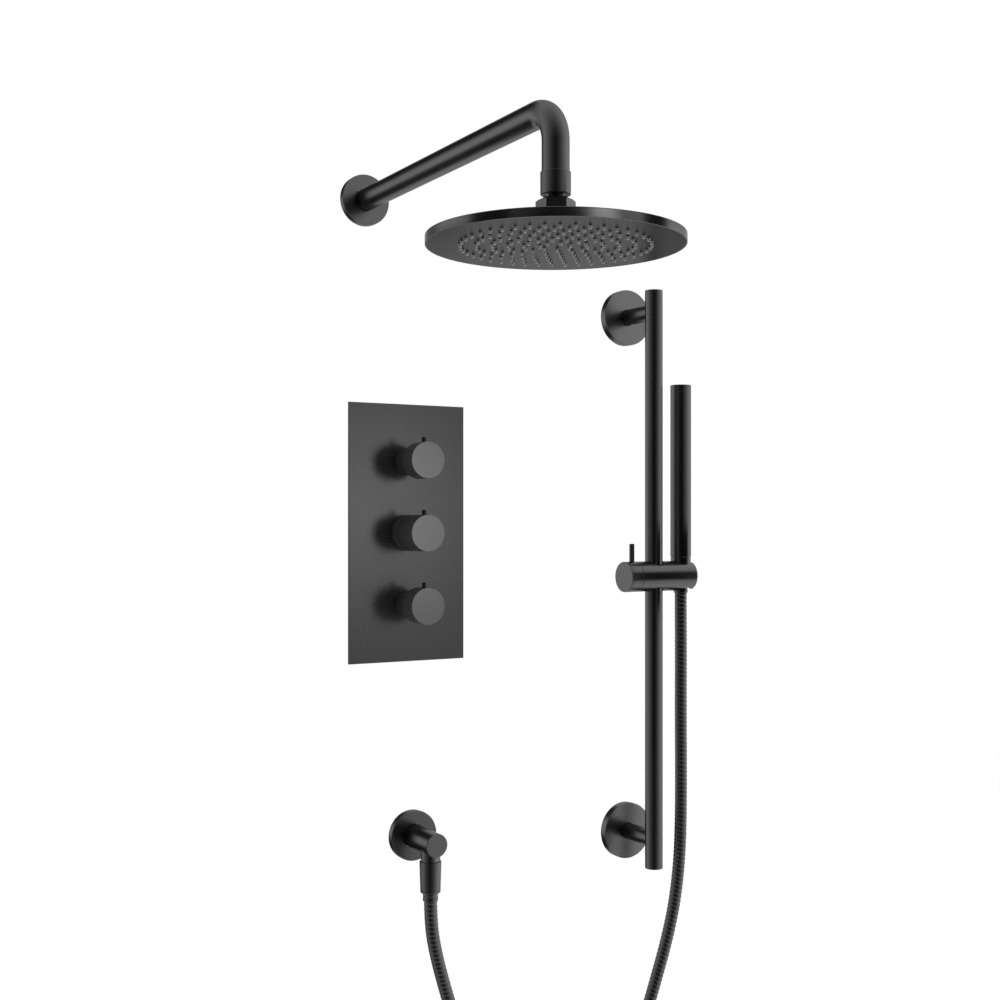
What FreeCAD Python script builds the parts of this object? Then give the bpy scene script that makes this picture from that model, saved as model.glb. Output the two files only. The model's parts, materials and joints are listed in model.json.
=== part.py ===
import FreeCAD, Part
import math
import os
from FreeCAD import Placement, Rotation, Vector

# Concealed shower set for a wall: an arm with a round rain head on a ball joint, a three-knob
# thermostatic valve behind a flat plate, a riser rail with a clamped slider and a stick handset,
# and a wall outlet elbow that feeds the handset through a hanging metal hose.
#
# Millimetres, +Z up. The finished wall is the plane Y = 0, the room is towards -Y and the water
# pipes come in from +Y. The origin is on the wall, at the middle knob's axis.

X, Y, Z = Vector(1, 0, 0), Vector(0, 1, 0), Vector(0, 0, 1)
ROOM, WALL, DOWN = Vector(0, -1, 0), Y, Vector(0, 0, -1)

# ---- driving dimensions -------------------------------------------------------------------

# clearances
touch = 0.05        # between two turned faces that are screwed or pushed together
running = 0.06      # radial, between a part that turns or slides and what guides it
gap = 0.3           # between curved faces that only lie near each other
groove_depth = 0.4  # fine decorative turned grooves

# G 1/2 pipe thread, modelled as plain cylinders
thread_r = 10.45
thread_bore_r = thread_r + touch
waterway_r = 7.0
nipple_length = 20.0

# arm
arm_x = -54.6
arm_z = 381.6
arm_reach = 410.0
arm_r = 12.5
arm_wall = 1.5
arm_bend_r = 31.0
arm_disc_r = 29.0
arm_disc_t = 7.6
disc_wall = 2.0
sleeve_r = 13.65
sleeve_top = 323.0
sleeve_bottom = 302.5
sleeve_socket = 5.0
sleeve_chamfer = 0.8

# ball joint
ball_r = 11.0
ball_z = 288.0
ball_neck_r = 6.5
ball_bore_r = 4.0
ring_t = 1.35
ring_high = (52.0, 76.0)    # degrees from straight up, of the upper seat ring
ring_low = (104.0, 128.0)   # and of the lower one
nut_corner_r = ball_r + 7.0
nut_top = 299.3
nut_mouth_r = ball_r + 0.8
nut_shoulder = 2.8
nut_boss_r = ball_r + 4.0
boss_top = 285.0

# rain head
head_r = 116.0
head_t = 8.0
head_top = 265.8
head_skin = 1.6
face_t = 1.5
mat_t = 1.5
nozzle_rings = ((85.0, 42), (70.8, 35), (56.7, 28), (42.5, 21), (28.3, 14), (14.2, 7))
mat_r = nozzle_rings[0][0] + 7.0
nozzle_r = 1.7
nozzle_tip_r = 1.2
nozzle_drop = 2.6
nozzle_gap = 0.15
head_stud_ring_r = 24.0
head_stud_r = 1.5
head_stud_length = 3.6
head_post_r = 3.5

# valve
plate_w = 149.0
plate_h = 300.0
plate_t = 3.0
plate_edge = 0.4
seal_t = 1.0
seal_w = 9.0
knob_pitch = 83.0
knob_r = 21.0
knob_face = 57.0
knob_front_t = 4.0
knob_wall = 2.5
knob_edge = 0.5
hub_r = 8.0
flow_knob_back = 33.0
temp_knob_back = 14.6
shroud_r = knob_r - knob_wall - 3.0
shroud_wall = 1.5
shroud_lap = 4.0
lever_r = 2.6
lever_proud = 5.6
lever_y = 46.5
spindle_r = 4.0
spindle_tip = 50.0
cartridge_r = 12.5
cartridge_back = 42.0
cartridge_front = 10.0
cartridge_neck_r = 9.0
cartridge_nose = 12.0
cartridge_nut_r = shroud_r - 0.5
cartridge_nut_t = 4.0
boss_r = 19.0
boss_front = 2.0
manifold_y = 46.0
manifold_r = 21.0
manifold_half = 118.0
port_r = 14.0
port_reach = 46.0
port_depth = 16.0
outlet_reach = 130.0

# riser rail
rail_x = 311.2
rail_y = -64.9
rail_r = 11.0
rail_wall = 1.5
rail_top = 300.8
rail_length = 718.9
rail_bottom = rail_top - rail_length
plug_head = 1.6
plug_depth = 10.0
rail_disc_r = 35.3
rail_disc_t = 10.0
bracket_heights = (rail_top - 26.6, rail_bottom + 35.6)
post_r = 10.0
post_bore_r = 7.6
post_bore_depth = 32.0
bush_wall_screw_r = 2.75
bush_head_r = 5.6
bush_seat = 12.0
wall_screw_neck_r = 2.6
wall_screw_neck_proud = 0.6
wall_screw_r = 2.4
wall_screw_length = 50.0
grub_r = 2.0
grub_y = 20.0

# slider on the rail
slider_z = -54.9
slider_r = 18.65
slider_face_x = 265.5
clamp_knob_length = 17.2
clamp_gap = 0.4
slider_end_chamfer = 2.4
liner_r = rail_r + 2.0
liner_half = 13.0
liner_slit = 1.6
liner_groove_r = liner_r - 0.7
liner_groove_half = 3.7
clamp_r = 4.0
pad_r = 3.5
clamp_lever_x = 277.6
clamp_lever_r = 3.2
clamp_lever_proud = 22.0

# handset
handset_x = 353.2
handset_top = 184.9
handset_bottom = -31.0
handset_r = 13.0
handset_wall = 1.5
slider_end_x = handset_x + handset_r + 0.6
handset_cap_t = 2.0
strip_top = 168.0
strip_length = 86.0
strip_width = 11.0
strip_t = 1.6
strip_rows = 9
strip_columns = 3
strip_nozzle_r = 0.9
strip_nozzle_proud = 0.9
spigot_length = 12.0

# hose
hose_r = 7.5
hose_nut_top_r = handset_r - 0.35
hose_nut_foot_r = hose_nut_top_r - 1.05
hose_nut_length = 35.4
hose_nut_wall_end = 8.0
ferrule_r = hose_r + 1.3
ferrule_length = 9.6
cone_seat_gap = 0.08
cradle_slot = 2 * hose_r + 1.8

# wall outlet
outlet_x = 6.5
outlet_z = -353.7
outlet_disc_r = 29.2
outlet_disc_t = 8.5
outlet_r = 13.5
outlet_face = 66.0
outlet_drop_y = -49.6
outlet_neck_r = 11.2
outlet_nut_top = -374.2
outlet_bore_r = outlet_r - 5.0
check_valve_length = 14.0

# ---- the hose's route: its nuts' feet and the points between them ---------------------------

hose_start = Vector(outlet_x, outlet_drop_y, outlet_nut_top - hose_nut_length - touch)
hose_end = Vector(handset_x, rail_y, handset_bottom - gap - hose_nut_length - touch)
hose_seam = Vector(353.5, -64.9, -262.5)
lower_points = [
    Vector(6.6, -49.6, -443.0),
    Vector(13.0, -49.8, -481.0),
    Vector(27.0, -50.4, -530.0),
    Vector(44.0, -51.2, -583.0),
    Vector(63.0, -52.2, -637.0),
    Vector(87.0, -53.4, -688.0),
    Vector(121.0, -54.8, -729.0),
    Vector(168.0, -56.4, -749.0),
    Vector(217.0, -58.0, -741.0),
    Vector(254.0, -59.6, -708.0),
    Vector(278.0, -61.0, -661.0),
    Vector(297.5, -62.2, -609.0),
    Vector(315.0, -63.2, -560.0),
    Vector(331.0, -64.0, -514.0),
    Vector(343.5, -64.5, -468.0),
    Vector(350.5, -64.8, -420.0),
    Vector(353.3, -64.9, -372.0),
    Vector(353.8, -64.9, -300.0),
]
upper_points = [
    Vector(353.2, -64.9, -225.0),
    Vector(353.6, -64.9, -150.0),
    Vector(353.2, -64.9, -100.0),
]
arc_share = 0.45


# ---- helpers ------------------------------------------------------------------------------

def export(name, *solids):
    """One STEP file for a sub-part; more than one solid is a group of like pieces."""
    shape = solids[0] if len(solids) == 1 else Part.makeCompound(list(solids))
    shape.exportStep("parts/" + name + ".step")
    volume = sum(s.Volume for s in shape.Solids)
    print(f"{name:26s} solids {len(shape.Solids):3d}  volume {volume / 1000:9.3f} cm3")


def lathe(profile, base, axis):
    """A turned solid from (radius, height) points, heights running from base along axis."""
    points = [Vector(r, 0, h) for r, h in profile]
    solid = Part.Face(Part.makePolygon(points + points[:1])).revolve(Vector(), Z, 360)
    solid.Placement = Placement(base, Rotation(Z, axis))
    return solid


def rod(r, base, axis, length):
    return Part.makeCylinder(r, length, base, axis)


def tube(outer, inner, base, axis, length):
    return rod(outer, base, axis, length).cut(rod(inner, base, axis, length))


def bevelled(r, length, bevel, base, axis):
    """A rod whose far edge is bevelled."""
    profile = [(0, 0), (r, 0), (r, length - bevel), (r - bevel, length), (0, length)]
    return lathe(profile, base, axis)


def box(low, high):
    size = high - low
    return Part.makeBox(size.x, size.y, size.z, low)


def hexagon(corner_r, base, axis, length):
    """A hexagonal bar along axis, with two of its corners in line with Y."""
    angles = [math.radians(60 * i + 30) for i in range(7)]
    corners = [Vector(corner_r * math.cos(a), corner_r * math.sin(a), 0) for a in angles]
    bar = Part.Face(Part.makePolygon(corners)).extrude(Z * length)
    bar.Placement = Placement(base, Rotation(Z, axis))
    return bar


def wall_disc(r, thickness, bore, base):
    """A cup-shaped cover disc on the wall, open at its back, with a bevelled front edge."""
    bevel = 0.5
    outside = bevelled(r, thickness, bevel, base, ROOM)
    inside = rod(r - disc_wall, base, ROOM, thickness - disc_wall)
    collar = rod(bore + disc_wall, base, ROOM, thickness)
    return outside.cut(inside).fuse(collar).cut(rod(bore, base, ROOM, thickness)).removeSplitter()


def wall_nipple(tail_r, tail_length, base):
    """A G 1/2 nipple: its thread goes into the wall and its tail into the fitting."""
    profile = [
        (waterway_r, -tail_length), (tail_r, -tail_length), (tail_r, 0),
        (thread_r, 0), (thread_r, nipple_length - 1), (thread_r - 1, nipple_length),
        (waterway_r, nipple_length),
    ]
    return lathe(profile, base, WALL)


def rounded_wire(points):
    """Straight runs joined by tangent arcs, each as large as its two runs allow."""
    edges, radii, last = [], [], points[0]
    for before, corner, after in zip(points, points[1:], points[2:]):
        back, on = before - corner, after - corner
        half_turn = (math.pi - back.getAngle(on)) / 2
        reach = arc_share * min(back.Length, on.Length)
        radius = reach / math.tan(half_turn)
        start = corner + back.normalize() * reach
        end = corner + on.normalize() * reach
        inward = ((start + end) * 0.5 - corner).normalize()
        middle = corner + inward * (radius / math.cos(half_turn) - radius)
        edges.append(Part.LineSegment(last, start).toShape())
        edges.append(Part.Arc(start, middle, end).toShape())
        radii.append(radius)
        last = end
    edges.append(Part.LineSegment(last, points[-1]).toShape())
    return Part.Wire(edges), radii


def swept_tube(points, r):
    """A round tube's outer shape along the rounded route."""
    wire, radii = rounded_wire(points)
    section = Part.Wire(Part.makeCircle(r, points[0], points[1] - points[0]))
    solid = wire.makePipeShell([section], True, False)
    print("  bend radii", [round(x) for x in radii])
    print(f"  length {wire.Length:.1f}, volume over section x length "
          f"{solid.Volume / (math.pi * r * r * wire.Length):.4f}")
    return solid


def shell_band(centre, inner, outer, polar):
    """A ring cut from a spherical shell, between two angles from straight up."""
    low, high = (math.radians(a) for a in polar)
    arc_mid = (low + high) / 2

    def at(r, a):
        return Vector(r * math.sin(a), 0, r * math.cos(a))

    wire = Part.Wire([
        Part.Arc(at(inner, low), at(inner, arc_mid), at(inner, high)).toShape(),
        Part.LineSegment(at(inner, high), at(outer, high)).toShape(),
        Part.Arc(at(outer, high), at(outer, arc_mid), at(outer, low)).toShape(),
        Part.LineSegment(at(outer, low), at(inner, low)).toShape(),
    ])
    band = Part.Face(wire).revolve(Vector(), Z, 360)
    band.Placement = Placement(centre, Rotation())
    return band


# ---- arm ----------------------------------------------------------------------------------

def bent_bar(r):
    """The arm's bar of one radius: out from the wall, round the bend and down."""
    start = Vector(arm_x, 0, arm_z)
    bend_in = Vector(arm_x, -arm_reach + arm_bend_r, arm_z)
    bend_out = Vector(arm_x, -arm_reach, arm_z - arm_bend_r)
    centre = Vector(arm_x, -arm_reach + arm_bend_r, arm_z - arm_bend_r)
    middle = centre + Vector(0, -1, 1).normalize() * arm_bend_r
    end = Vector(arm_x, -arm_reach, sleeve_top - sleeve_socket)
    spine = Part.Wire([
        Part.LineSegment(start, bend_in).toShape(),
        Part.Arc(bend_in, middle, bend_out).toShape(),
        Part.LineSegment(bend_out, end).toShape(),
    ])
    section = Part.Wire(Part.makeCircle(r, start, ROOM))
    return spine.makePipeShell([section], True, False)


def arm_parts():
    start = Vector(arm_x, 0, arm_z)
    leg = Vector(arm_x, -arm_reach, 0)
    export("arm_wall_disc", wall_disc(arm_disc_r, arm_disc_t, arm_r + gap, start))
    export("shower_arm", bent_bar(arm_r).cut(bent_bar(arm_r - arm_wall)))
    export("arm_wall_nipple", wall_nipple(arm_r - arm_wall - touch, 9, start))
    height = sleeve_top - sleeve_bottom
    groove = 6.0
    sleeve = lathe(
        [
            (thread_bore_r, 0), (sleeve_r - sleeve_chamfer, 0), (sleeve_r, sleeve_chamfer),
            (sleeve_r, groove), (sleeve_r - groove_depth, groove + groove_depth),
            (sleeve_r, groove + 2 * groove_depth), (sleeve_r, height - sleeve_chamfer),
            (sleeve_r - sleeve_chamfer, height), (arm_r + touch, height),
            (arm_r + touch, height - sleeve_socket), (thread_bore_r, height - sleeve_socket),
        ],
        leg + Z * sleeve_bottom, Z)
    export("arm_end_sleeve", sleeve)


# ---- ball joint and rain head -------------------------------------------------------------

def ball_joint_parts():
    axis = Vector(arm_x, -arm_reach, 0)
    centre = axis + Z * ball_z
    thread_foot = sleeve_bottom + 0.4
    thread_top = sleeve_top - sleeve_socket - 1
    ball = Part.makeSphere(ball_r, centre)
    neck = rod(ball_neck_r, centre, Z, thread_foot - ball_z)
    thread = rod(thread_r, axis + Z * thread_foot, Z, thread_top - thread_foot)
    bore = rod(ball_bore_r, centre - Z * ball_r, Z, 2 * ball_r + thread_top)
    export("ball_stud", ball.fuse(neck).fuse(thread).cut(bore))

    inner = ball_r + running
    outer = inner + ring_t
    cavity = outer + running
    export("ball_upper_ring", shell_band(centre, inner, outer, ring_high))
    export("ball_lower_ring", shell_band(centre, inner, outer, ring_low))

    nut_foot = head_top + touch
    height = nut_top - nut_foot
    cone = lathe(
        [(0, 0), (nut_corner_r, 0), (nut_corner_r, height - nut_shoulder),
         (nut_mouth_r, height), (0, height)],
        axis + Z * nut_foot, Z)
    nut = hexagon(nut_corner_r, axis + Z * nut_foot, Z, height).common(cone)
    mouth_angle = math.radians(ring_high[0] + 4)
    mouth = lathe(
        [(0, cavity * math.cos(mouth_angle)), (cavity * math.sin(mouth_angle), cavity * math.cos(mouth_angle)),
         (nut_mouth_r, nut_top - ball_z), (nut_mouth_r, nut_top - ball_z + 1), (0, nut_top - ball_z + 1)],
        centre, Z)
    thread_hole = rod(nut_boss_r + touch, axis + Z * nut_foot, Z, boss_top + touch - nut_foot)
    nut = nut.cut(Part.makeSphere(cavity, centre)).cut(mouth).cut(thread_hole)
    export("ball_collar_nut", nut)
    return centre, cavity


def head_parts(centre, cavity):
    axis = Vector(arm_x, -arm_reach, 0)
    bottom = head_top - head_t
    disc = lathe(
        [(0, 0), (head_r, 0), (head_r, head_t - 0.4), (head_r - 0.4, head_t), (0, head_t)],
        axis + Z * bottom, Z)
    hollow = rod(head_r - head_skin, axis + Z * bottom, Z, head_t - head_skin)
    boss = rod(nut_boss_r, axis + Z * head_top, Z, boss_top - head_top)
    inlet = rod(waterway_r, axis + Z * bottom, Z, ball_z - bottom)
    shell = disc.cut(hollow).fuse(boss).cut(Part.makeSphere(cavity, centre)).cut(inlet)
    mat_top = bottom + face_t + mat_t
    post_length = head_t - head_skin - face_t - mat_t
    studs = []
    for i in range(3):
        angle = math.radians(30 + 120 * i)
        foot = axis + Vector(math.cos(angle), math.sin(angle), 0) * head_stud_ring_r
        shell = shell.fuse(rod(head_post_r, foot + Z * mat_top, Z, post_length))
        shell = shell.cut(rod(head_stud_r + touch, foot + Z * mat_top, Z, post_length))
        studs.append(rod(head_stud_r, foot + Z * (bottom + face_t), Z, head_stud_length))
    export("head_upper_shell", shell.removeSplitter())

    holes, teats = [], []
    for ring_r, count in nozzle_rings:
        for i in range(count):
            angle = 2 * math.pi * i / count
            spot = axis + Vector(ring_r * math.cos(angle), ring_r * math.sin(angle), bottom + face_t)
            holes.append(rod(nozzle_r + nozzle_gap, spot, DOWN, face_t))
            teats.append(lathe(
                [(0, 0), (nozzle_r, 0), (nozzle_r, face_t), (nozzle_tip_r, face_t + nozzle_drop),
                 (0, face_t + nozzle_drop)],
                spot, DOWN))
    plate = rod(head_r - head_skin - touch, axis + Z * bottom, Z, face_t)
    export("head_face_plate", plate.cut(Part.makeCompound(holes)))
    mat = rod(mat_r, axis + Z * (bottom + face_t), Z, mat_t)
    stud_holes = [rod(head_stud_r + gap, s.CenterOfMass - Z * head_stud_length, Z, 2 * head_stud_length)
                  for s in studs]
    export("head_nozzle_mat", mat.cut(stud_holes).fuse(teats).removeSplitter())
    export("head_studs", *studs)


# ---- valve --------------------------------------------------------------------------------

def valve_parts():
    heights = (knob_pitch, 0.0, -knob_pitch)
    front = seal_t + plate_t
    seal = box(Vector(-plate_w / 2 + 1, -seal_t, -plate_h / 2 + 1),
               Vector(plate_w / 2 - 1, 0, plate_h / 2 - 1))
    window = box(Vector(-plate_w / 2 + seal_w, -seal_t, -plate_h / 2 + seal_w),
                 Vector(plate_w / 2 - seal_w, 0, plate_h / 2 - seal_w))
    export("valve_plate_seal", seal.cut(window))

    plate = box(Vector(-plate_w / 2, -front, -plate_h / 2), Vector(plate_w / 2, -seal_t, plate_h / 2))
    rim = [e for e in plate.Edges if all(abs(v.Y + front) < 1e-6 for v in e.Vertexes)]
    plate = plate.makeChamfer(plate_edge, rim)
    for z in heights:
        plate = plate.cut(rod(shroud_r + touch, Vector(0, 0, z), ROOM, front))
    export("valve_plate", plate)

    body = rod(manifold_r, Vector(0, manifold_y, -manifold_half), Z, 2 * manifold_half)
    for z in heights:
        body = body.fuse(rod(boss_r, Vector(0, boss_front, z), WALL, manifold_y - boss_front))
    body = body.fuse(rod(port_r, Vector(-port_reach, manifold_y, 0), X, 2 * port_reach))
    body = body.fuse(rod(port_r, Vector(0, manifold_y, -outlet_reach), Z, 2 * outlet_reach))
    for z in heights:
        depth = cartridge_back - boss_front
        body = body.cut(rod(cartridge_r + touch, Vector(0, boss_front, z), WALL, depth))
    body = body.cut(rod(waterway_r, Vector(0, manifold_y, -outlet_reach), Z, 2 * outlet_reach))
    body = body.cut(rod(waterway_r, Vector(-port_reach, manifold_y, 0), X, 2 * port_reach))
    for way, reach in ((X, port_reach), (X * -1, port_reach), (Z, outlet_reach), (DOWN, outlet_reach)):
        mouth = Vector(0, manifold_y, 0) + way * reach
        body = body.cut(rod(thread_bore_r, mouth, way * -1, port_depth))
    export("valve_body", body.removeSplitter())

    cartridges = [cartridge(z) for z in heights]
    export("thermostatic_cartridge", cartridges[1])
    export("flow_cartridges", cartridges[0], cartridges[2])
    export("cartridge_nuts", *[cartridge_nut(z) for z in heights])

    shroud_foot = cartridge_nut_t - boss_front + 2 * touch
    shroud_length = flow_knob_back + shroud_lap - shroud_foot
    shrouds = [
        tube(shroud_r, shroud_r - shroud_wall, Vector(0, -shroud_foot, z), ROOM, shroud_length)
        for z in (heights[0], heights[2])
    ]
    export("flow_shrouds", *shrouds)
    ring_length = temp_knob_back - clamp_gap - front
    ring = lathe(
        [(shroud_r, 0), (knob_r, 0), (knob_r, ring_length - 2.2),
         (knob_r - groove_depth, ring_length - 1.8), (knob_r, ring_length - 1.4),
         (knob_r, ring_length), (knob_r - knob_wall - 1, ring_length),
         (knob_r - knob_wall - 1, ring_length + shroud_lap), (shroud_r, ring_length + shroud_lap)],
        Vector(0, -front, 0), ROOM)
    export("temperature_ring", ring)

    names = ("upper_flow", "temperature", "lower_flow")
    backs = (flow_knob_back, temp_knob_back, flow_knob_back)
    for name, z, back in zip(names, heights, backs):
        export(name + "_knob", knob(z, back))
        export(name + "_lever", knob_lever(z))
        export(name + "_spindle", rod(spindle_r, Vector(0, cartridge_front, z), ROOM,
                                      cartridge_front + spindle_tip))


def cartridge(z):
    """A valve cartridge in its bore, with a neck through its nut and a bore for its spindle."""
    reach = cartridge_back - touch
    solid = lathe(
        [(0, -reach), (cartridge_r, -reach), (cartridge_r, -cartridge_front),
         (cartridge_neck_r, -cartridge_front), (cartridge_neck_r, cartridge_nose), (0, cartridge_nose)],
        Vector(0, 0, z), ROOM)
    return solid.cut(rod(spindle_r + running, Vector(0, cartridge_front + 1, z), ROOM, 30))


def cartridge_nut(z):
    """The brass nut that holds a cartridge in its boss."""
    hole = rod(cartridge_neck_r + touch, Vector(0, cartridge_front, z), ROOM, 30)
    head = hexagon(cartridge_nut_r, Vector(0, boss_front - touch, z), ROOM, cartridge_nut_t)
    tail = rod(cartridge_r, Vector(0, cartridge_front - touch, z), ROOM, cartridge_front - boss_front)
    return head.fuse(tail).cut(hole)


def knob(z, back):
    """A hollow round knob with a hub on its spindle and a cross hole for its lever pin."""
    length = knob_face - back
    base = Vector(0, -back, z)
    outside = bevelled(knob_r, length, knob_edge, base, ROOM)
    inside = rod(knob_r - knob_wall, base, ROOM, length - knob_front_t)
    hub_start = flow_knob_back + 3
    hub = rod(hub_r, Vector(0, -hub_start, z), ROOM, knob_face - knob_front_t - hub_start)
    socket = rod(spindle_r + touch, Vector(0, -hub_start, z), ROOM, spindle_tip + touch - hub_start)
    cross = rod(lever_r + touch, Vector(0, -lever_y, z), Z, knob_r + 1)
    return outside.cut(inside).fuse(hub).cut(socket).cut(cross).removeSplitter()


def knob_lever(z):
    """The lever pin on a knob's top: it is also the screw that grips the spindle."""
    foot = spindle_r + touch
    length = knob_r + lever_proud - foot
    return bevelled(lever_r, length, 0.4, Vector(0, -lever_y, z + foot), Z)


# ---- riser rail ---------------------------------------------------------------------------

def rail_parts():
    low, high = rail_bottom + plug_head, rail_top - plug_head
    rail = tube(rail_r, rail_r - rail_wall, Vector(rail_x, rail_y, low), Z, high - low)
    export("rail_tube", rail)
    plug_profile = [
        (0, -plug_depth), (rail_r - rail_wall - touch, -plug_depth), (rail_r - rail_wall - touch, 0),
        (rail_r, 0), (rail_r, plug_head - 0.6), (rail_r - 0.6, plug_head), (0, plug_head),
    ]
    export("rail_end_plugs",
           lathe(plug_profile, Vector(rail_x, rail_y, high), Z),
           lathe(plug_profile, Vector(rail_x, rail_y, low), DOWN))

    discs, posts, bushes, screws, grubs = [], [], [], [], []
    for z in bracket_heights:
        foot = Vector(rail_x, 0, z)
        discs.append(wall_disc(rail_disc_r, rail_disc_t, post_r + gap, foot))
        post = rod(post_r, foot + ROOM * gap, ROOM, -rail_y - gap)
        post = post.cut(rod(rail_r + touch, Vector(rail_x, rail_y, z - 2 * post_r), Z, 4 * post_r))
        post = post.cut(rod(post_bore_r, foot, ROOM, post_bore_depth))
        grub_foot = foot + Vector(0, -grub_y, -post_bore_r + gap)
        grub_length = post_r - post_bore_r + gap
        post = post.cut(rod(grub_r + touch, grub_foot, DOWN, grub_length + 1))
        posts.append(post)
        bush = rod(post_bore_r - touch, foot, ROOM, post_bore_depth - 2)
        bush = bush.cut(rod(bush_wall_screw_r, foot, ROOM, post_bore_depth))
        bush = bush.cut(rod(bush_head_r, foot + ROOM * bush_seat, ROOM, post_bore_depth))
        bushes.append(bush.cut(rod(grub_r + touch, grub_foot, DOWN, grub_length + 1)))
        screws.append(lathe(
            [(0, -3.2), (bush_head_r - gap, -3.2), (bush_head_r - gap, 0), (wall_screw_neck_r, 0),
             (wall_screw_neck_r, bush_seat + wall_screw_neck_proud),
             (wall_screw_r, bush_seat + wall_screw_neck_proud + 0.2),
             (wall_screw_r, wall_screw_length - 6), (0, wall_screw_length)],
            foot + ROOM * bush_seat, WALL))
        grubs.append(rod(grub_r, grub_foot, DOWN, grub_length))
    export("rail_wall_discs", *discs)
    export("rail_posts", *posts)
    export("rail_wall_bushes", *bushes)
    export("rail_wall_screws", *screws)
    export("rail_grub_screws", *grubs)


# ---- slider -------------------------------------------------------------------------------

def hose_nut_radius(depth):
    """The conical nut's outside radius at a depth below its top."""
    return hose_nut_top_r - (hose_nut_top_r - hose_nut_foot_r) * depth / hose_nut_length


def slider_parts():
    hub = Vector(rail_x, rail_y, slider_z)
    axis = Vector(0, rail_y, slider_z)
    body_start = slider_face_x + clamp_knob_length + clamp_gap
    body = bevelled(slider_r, slider_end_x - body_start, slider_end_chamfer, axis + X * body_start, X)
    body = body.cut(rod(liner_r + running, hub - Z * slider_r, Z, 2 * slider_r))
    body = body.cut(rod(clamp_r + running, axis + X * body_start, X, rail_x - body_start))
    nut_top = handset_bottom - gap
    depth_top = nut_top - (slider_z + slider_r)
    depth_foot = depth_top + 2 * slider_r
    cone = lathe(
        [(0, -depth_foot), (hose_nut_radius(depth_foot) + cone_seat_gap, -depth_foot),
         (hose_nut_radius(depth_top) + cone_seat_gap, -depth_top), (0, -depth_top)],
        Vector(handset_x, rail_y, nut_top), Z)
    slot = box(Vector(handset_x, rail_y - cradle_slot / 2, slider_z - slider_r),
               Vector(slider_end_x, rail_y + cradle_slot / 2, slider_z + slider_r))
    export("slider_body", body.cut(cone).cut(slot))

    liner = lathe(
        [(rail_r + running, -liner_half), (liner_r, -liner_half), (liner_r, -liner_groove_half),
         (liner_groove_r, -liner_groove_half), (liner_groove_r, liner_groove_half),
         (liner_r, liner_groove_half), (liner_r, liner_half), (rail_r + running, liner_half)],
        hub, Z)
    slit = box(hub + Vector(0, -liner_slit / 2, -liner_half), hub + Vector(liner_r, liner_slit / 2, liner_half))
    export("slider_liner", liner.cut(slit))

    stud_tip = body_start + 6
    pad_tip = rail_x - liner_groove_r - running
    pad_step = rail_x - liner_r - 2
    export("clamp_pad", rod(clamp_r, axis + X * (stud_tip + touch), X, pad_step - stud_tip - touch).fuse(
        rod(pad_r, axis + X * pad_step, X, pad_tip - pad_step)))
    stud_start = slider_face_x + 9
    export("clamp_stud", rod(clamp_r, axis + X * stud_start, X, stud_tip - stud_start))

    first, second = 3.1, 8.8
    knob_body = lathe(
        [(0, 0), (slider_r - 0.4, 0), (slider_r, 0.4), (slider_r, first), (slider_r - groove_depth, first + 0.4),
         (slider_r, first + 0.8), (slider_r, second), (slider_r - groove_depth, second + 0.3),
         (slider_r, second + 0.6), (slider_r, clamp_knob_length), (0, clamp_knob_length)],
        axis + X * slider_face_x, X)
    knob_body = knob_body.cut(rod(clamp_r + touch, axis + X * (stud_start - touch), X, clamp_knob_length))
    lever_foot = slider_r - 8
    lever_base = Vector(clamp_lever_x, rail_y, slider_z + lever_foot)
    knob_body = knob_body.cut(rod(clamp_lever_r + touch, lever_base - Z * touch, Z, slider_r))
    export("clamp_knob", knob_body)
    lever_length = slider_r + clamp_lever_proud - lever_foot
    export("clamp_lever", bevelled(clamp_lever_r, lever_length, 0.5, lever_base, Z))


# ---- handset ------------------------------------------------------------------------------

def handset_parts():
    foot = Vector(handset_x, rail_y, handset_bottom)
    length = handset_top - handset_bottom
    floor_t = 3.0
    shell = bevelled(handset_r, length, 0.4, foot, Z)
    bore = rod(handset_r - handset_wall, foot + Z * floor_t, Z, length)
    shell = shell.cut(bore).cut(rod(waterway_r - 1, foot, Z, floor_t))
    face_x = math.sqrt((handset_r - 0.4) ** 2 - (strip_width / 2) ** 2)
    strip_low = foot + Vector(0, 0, strip_top - strip_length - handset_bottom)
    opening = box(strip_low + Vector(handset_r - handset_wall - 3, -strip_width / 2, 0),
                  strip_low + Vector(handset_r + 1, strip_width / 2, strip_length))
    shell = shell.cut(opening)
    export("handset_shell", shell)

    cap = bevelled(handset_r - handset_wall - touch, handset_cap_t, 0.3,
                   Vector(handset_x, rail_y, handset_top - handset_cap_t - 0.3), Z)
    export("handset_top_cap", cap)

    ends = 0.1
    strip = box(strip_low + Vector(face_x - strip_t, -strip_width / 2 + ends, ends),
                strip_low + Vector(face_x, strip_width / 2 - ends, strip_length - ends))
    nozzles = []
    for row in range(strip_rows):
        for column in range(strip_columns):
            along = strip_length * (row + 0.5) / strip_rows
            across = strip_width * ((column + 0.5) / strip_columns - 0.5)
            spot = strip_low + Vector(face_x - strip_t / 2, across, along)
            nozzles.append(rod(strip_nozzle_r, spot, X, strip_t / 2 + strip_nozzle_proud))
    export("handset_spray_strip", strip.fuse(nozzles).removeSplitter())

    spigot = tube(thread_r - touch, waterway_r - 1, foot, DOWN, spigot_length)
    export("handset_spigot", spigot)


# ---- hose ---------------------------------------------------------------------------------

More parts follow.
